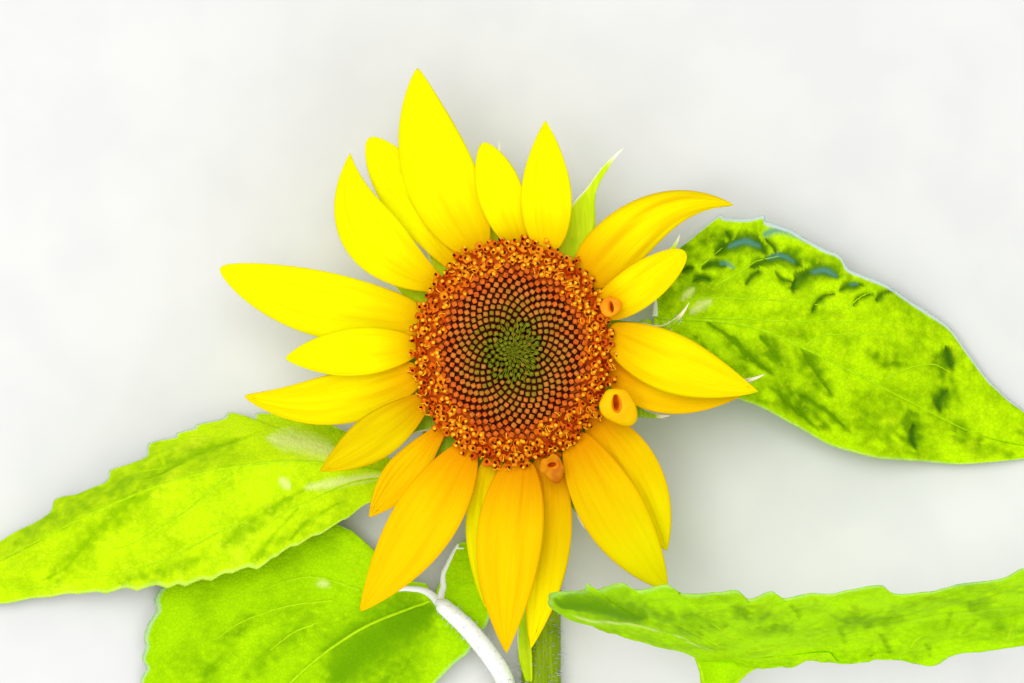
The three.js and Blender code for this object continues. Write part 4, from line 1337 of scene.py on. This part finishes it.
def disc_open():
    chance = random.Random(5)
    kinds = ("pollen", "forked", "bare")
    patterns = {
        (kind, tone, seed): open_pattern(kind, tone, seed)
        for kind in kinds for tone in range(3) for seed in range(3)
    }
    shape = bmesh.new()
    for _, spot, radius in florets(opened=True):
        share = clamp((radius - BUD_RADIUS) / (DISC_RX - BUD_RADIUS))
        kind = chance.choices(kinds, (mix(3, 1.6, share), 0.7, mix(0.6, 1.4, share)))[0]
        tone = chance.choices((0, 1, 2), (3, mix(1.4, 5, smooth(8, 34, spot.y)), 1))[0]
        lean = mix(0.05, 0.7, share) + chance.uniform(-0.3, 0.3)
        size = chance.uniform(0.8, 1.02)
        spot += Vector([chance.uniform(-reach, reach) for reach in (0.6, 0.6, 0.5)])
        turn = chance.uniform(0, 6.3)
        lay_floret(shape, patterns[kind, tone, chance.randrange(3)], spot, lean, turn, size, size)
    piece("disc_open_florets", shape, [*COROLLAS, "anther", "pollen"], "disc")


# Green cup behind the disc, with its rings of long-tipped bracts. Each row gives where the bract
# stands and its tip. Some rows add the place that it bends over, and one how broad it is.
BRACTS = [
    (52, (36, 66.2, 40), (20, 52), 1.25), (96, (-4.5, 68.8, 36.5)), (36, (54.3, 38.5, 36), (51.6, 27)),
    (14, (57.3, 16.3, 37), (50, 1)), (-4, (81.9, -7, 38), (70, -15)), (-20, (51.4, -20.6, 37), (41, -23)),
    (-66, (23.4, -58, 37), (16, -42)), (-45, (41, -45, 37)), (-88, (1, -62, 37)), (-108, (-18, -56, 37)),
    (-124, (-31, -47, 38)), (-143, (-40, -32, 38)), (-158, (-50, -18, 37)), (-176, (-56, -3, 37)),
    (165, (-55, 14, 37)), (150, (-49, 29, 37)), (127, (-38, 50, 37)), (77, (14, 62, 37)),
]
INNER_BRACTS = 20
BRACT_ROOT = CUP_BASE + 6.6
BRACT_KNEE = CUP_BASE + 8
INNER_DROP = 3.4


def bract_rule(at, tip, bend=None, broad=1.0, drop=0.0):
    """The rule of one bract, whose tail hooks where its bend lies off its line."""
    root = rim_point(at, -4.5)
    root.z = BRACT_ROOT - drop
    knee = Vector((*bend, 0)) if bend else rim_point(at, 5)
    knee.z = BRACT_KNEE - drop
    end = Vector(tip)

    def middle(u):
        return root.lerp(knee, u).lerp(knee.lerp(end, u), u)

    def share(u):
        return 0 if u == 1 else 0.62 * (1 - smooth(0.34, 0.64, u)) + 0.52 * (1 - u) ** 0.75

    half_width = 0.5 * BRACT_WIDTH * broad
    return blade_rule(
        middle, 0.001, 0.001, lambda u: half_width * share(u), lambda u, x: 0.5 * abs(x) * share(u)
    )


def involucre_rules():
    rules = [bract_rule(*row) for row in BRACTS]
    for i in range(INNER_BRACTS):
        at = 9 + 360 / INNER_BRACTS * i
        tip = rim_point(at, 13 + 3 * math.sin(i * 2.3))
        tip.z = CUP_BASE + 4.6
        rules.append(bract_rule(at, tip, drop=INNER_DROP))
    return rules


def involucre_piece():
    cup = oval_body([
        (0, CUP_BASE), (9, CUP_BASE), (20, CUP_BASE + 1.6), (28.6, CUP_BASE + 5.2), (31.2, CUP_BASE + 9.6),
        (30, CUP_BASE + 9.8), (27.4, CUP_FLOOR + 4.4), (19, CUP_FLOOR + 1), (0, CUP_FLOOR),
    ])
    piece("involucre_cup", cup, ["bract_skin"], "bract", "involucre")
    blades = bmesh.new()
    grid = mesh_of(blade_grid(8, 24), "bract_grid")
    for i, rule in enumerate(involucre_rules()):
        bright = i < len(BRACTS) and 20 < BRACTS[i][0] < 170
        lay(blades, grid, lambda corner: rule((corner.y + 1) / 2, corner.x), 1 if bright else 0)
    bmesh.ops.remove_doubles(blades, verts=blades.verts, dist=JOIN / 5)
    finishes = ["bract_skin", "bract_bright_skin"]
    thicken(piece("involucre_bracts", blades, finishes, "bract"), BRACT_THICKNESS)


STEM_BRACT = Curve([(5.6, -110, 12), (4.3, -101, 12.8), (3.8, -91, 14.8), (3.4, -80, 17)])
STEM_BRACT_UP = Vector((-0.7, 0, 0.7)).normalized()
STEM_BRACT_HALF = 3


def stem_bract_piece():
    def place(u, x):
        _, right, normal = blade_frame(STEM_BRACT, u, STEM_BRACT_UP)
        share = 0 if u == 1 else math.sin(math.pi * (0.1 + 0.9 * u) ** 0.9) + 0.04
        return STEM_BRACT.point(u) + right * (STEM_BRACT_HALF * share * x) + normal * (0.5 * abs(x))

    made = piece(
        "stem_bract_blade", bent_grid(8, 24, place), ["bract_bright_skin"], "bract", "stem_bract"
    )
    thicken(made, BRACT_THICKNESS)


# Hairs.
def limb_hair(chance, rule, u):
    """Where a hair of a stem or stalk stands, which way it points, and its share of the length."""
    angle = chance.uniform(0, 2 * math.pi)
    ring = Vector((math.cos(angle), math.sin(angle), u))
    foot = rule(Vector((ring.x * 0.97, ring.y * 0.97, u)))
    way = (rule(ring) - rule(Vector((0, 0, u)))).normalized() + jitter(chance, 0.3)
    return foot, way, chance.uniform(0.55, 1.15)


def margin_hair(chance, rule, u):
    """The same for a hair on the edge of a leaf or bract, unless the blade is too narrow there."""
    x = chance.choice((-1, 1))
    foot, inner = rule(u, x * 0.98), rule(u, x * 0.8)
    if (foot - inner).length < 0.05:
        return None
    way = (foot - inner).normalized() + UP * chance.uniform(-0.3, 0.5) + jitter(chance, 0.25)
    return foot, way, chance.uniform(0.5, 1.2)


# For each coat of hairs: its piece and slot, the rule of its hairs, the shapes they stand on, how
# many stand on each, from where to where along it, their length and the radius of their foot.
COATS = [
    ("stem", "stem", limb_hair, [STEM_RULE], 3000, 0.02, 0.9, 2.9, 0.14),
    ("stalk", "stem", limb_hair, [stalk_rule(side) for side in STALKS], 260, 0.1, 0.98, 1.5, 0.14),
    ("bract", "bract", margin_hair, involucre_rules(), 44, 0.05, 0.9, 1.3, 0.08),
    ("leaf", "leaf", margin_hair, [leaf.place for leaf in LEAVES.values()], 420, 0.05, 0.97, 0.8, 0.07),
]
FLOOR_CLEARANCE = 0.3
HAIR_TIP = 0.12


def lay_hair(shape, pattern, foot, way, length, radius):
    if foot.z + way.normalized().z * length < FLOOR_CLEARANCE:
        return
    turn = way.to_track_quat("Z", "Y").to_matrix().to_4x4()
    place = Matrix.Translation(foot) @ turn @ Matrix.Diagonal((radius, radius, length, 1))
    lay(shape, pattern, lambda corner: place @ corner)


def hair_pieces():
    chance = random.Random(3)
    pattern = cone_pattern(3, tip=HAIR_TIP)
    for name, slot, hair, rules, count, first, last, full_length, radius in COATS:
        shape = bmesh.new()
        for rule in rules:
            for _ in range(count):
                stand = hair(chance, rule, chance.uniform(first, last))
                if stand:
                    foot, way, share = stand
                    lay_hair(shape, pattern, foot, way, full_length * share, radius)
        piece(f"{name}_hairs", shape, ["hair"], slot)


# Studio, in metres: each light's place, size and power.
LIGHTS = {"key": ((-0.34, 0.4, 1.78), 1.3, 22), "fill": ((0.5, -1.2, 1.0), 1.2, 8)}
SKY_STRENGTH = 0.6
FLOOR_HALF = 3
LENS = 100
SENSOR = 36


def studio():
    shape = bmesh.new()
    bmesh.ops.create_grid(shape, x_segments=1, y_segments=1, size=FLOOR_HALF)
    floor = in_scene("floor", mesh_of(shape, "floor"))
    floor.data.materials.append(FINISHES["floor"])

    world = bpy.data.worlds.new("studio")
    world.use_nodes = True
    sky = world.node_tree.nodes["Background"].inputs
    sky["Color"].default_value = (1, 1, 1, 1)
    sky["Strength"].default_value = SKY_STRENGTH
    bpy.context.scene.world = world

    for name, (place, size, power) in LIGHTS.items():
        light = bpy.data.lights.new(name, "AREA")
        light.size = size
        light.energy = power
        lamp = in_scene(name, light)
        lamp.location = place
        lamp.rotation_euler = (-Vector(place)).to_track_quat("-Z", "Y").to_euler()

    view = bpy.data.cameras.new("camera")
    view.lens = LENS
    view.sensor_width = SENSOR
    view.clip_start = 0.05
    camera = in_scene("camera", view)
    camera.location = TO_FRAME @ CAMERA_AT
    bpy.context.scene.camera = camera
    bpy.context.scene.view_settings.view_transform = "Standard"


studio()
stem_piece()
stalk_pieces()
for side in LEAVES:
    leaf_blade(side)
leaf_web()
ray_pieces()
for number, row in enumerate(ROLLED, 1):
    trumpet_piece(number, row)
disc_bed()
disc_buds()
disc_centre()
disc_open()
involucre_piece()
stem_bract_piece()
hair_pieces()
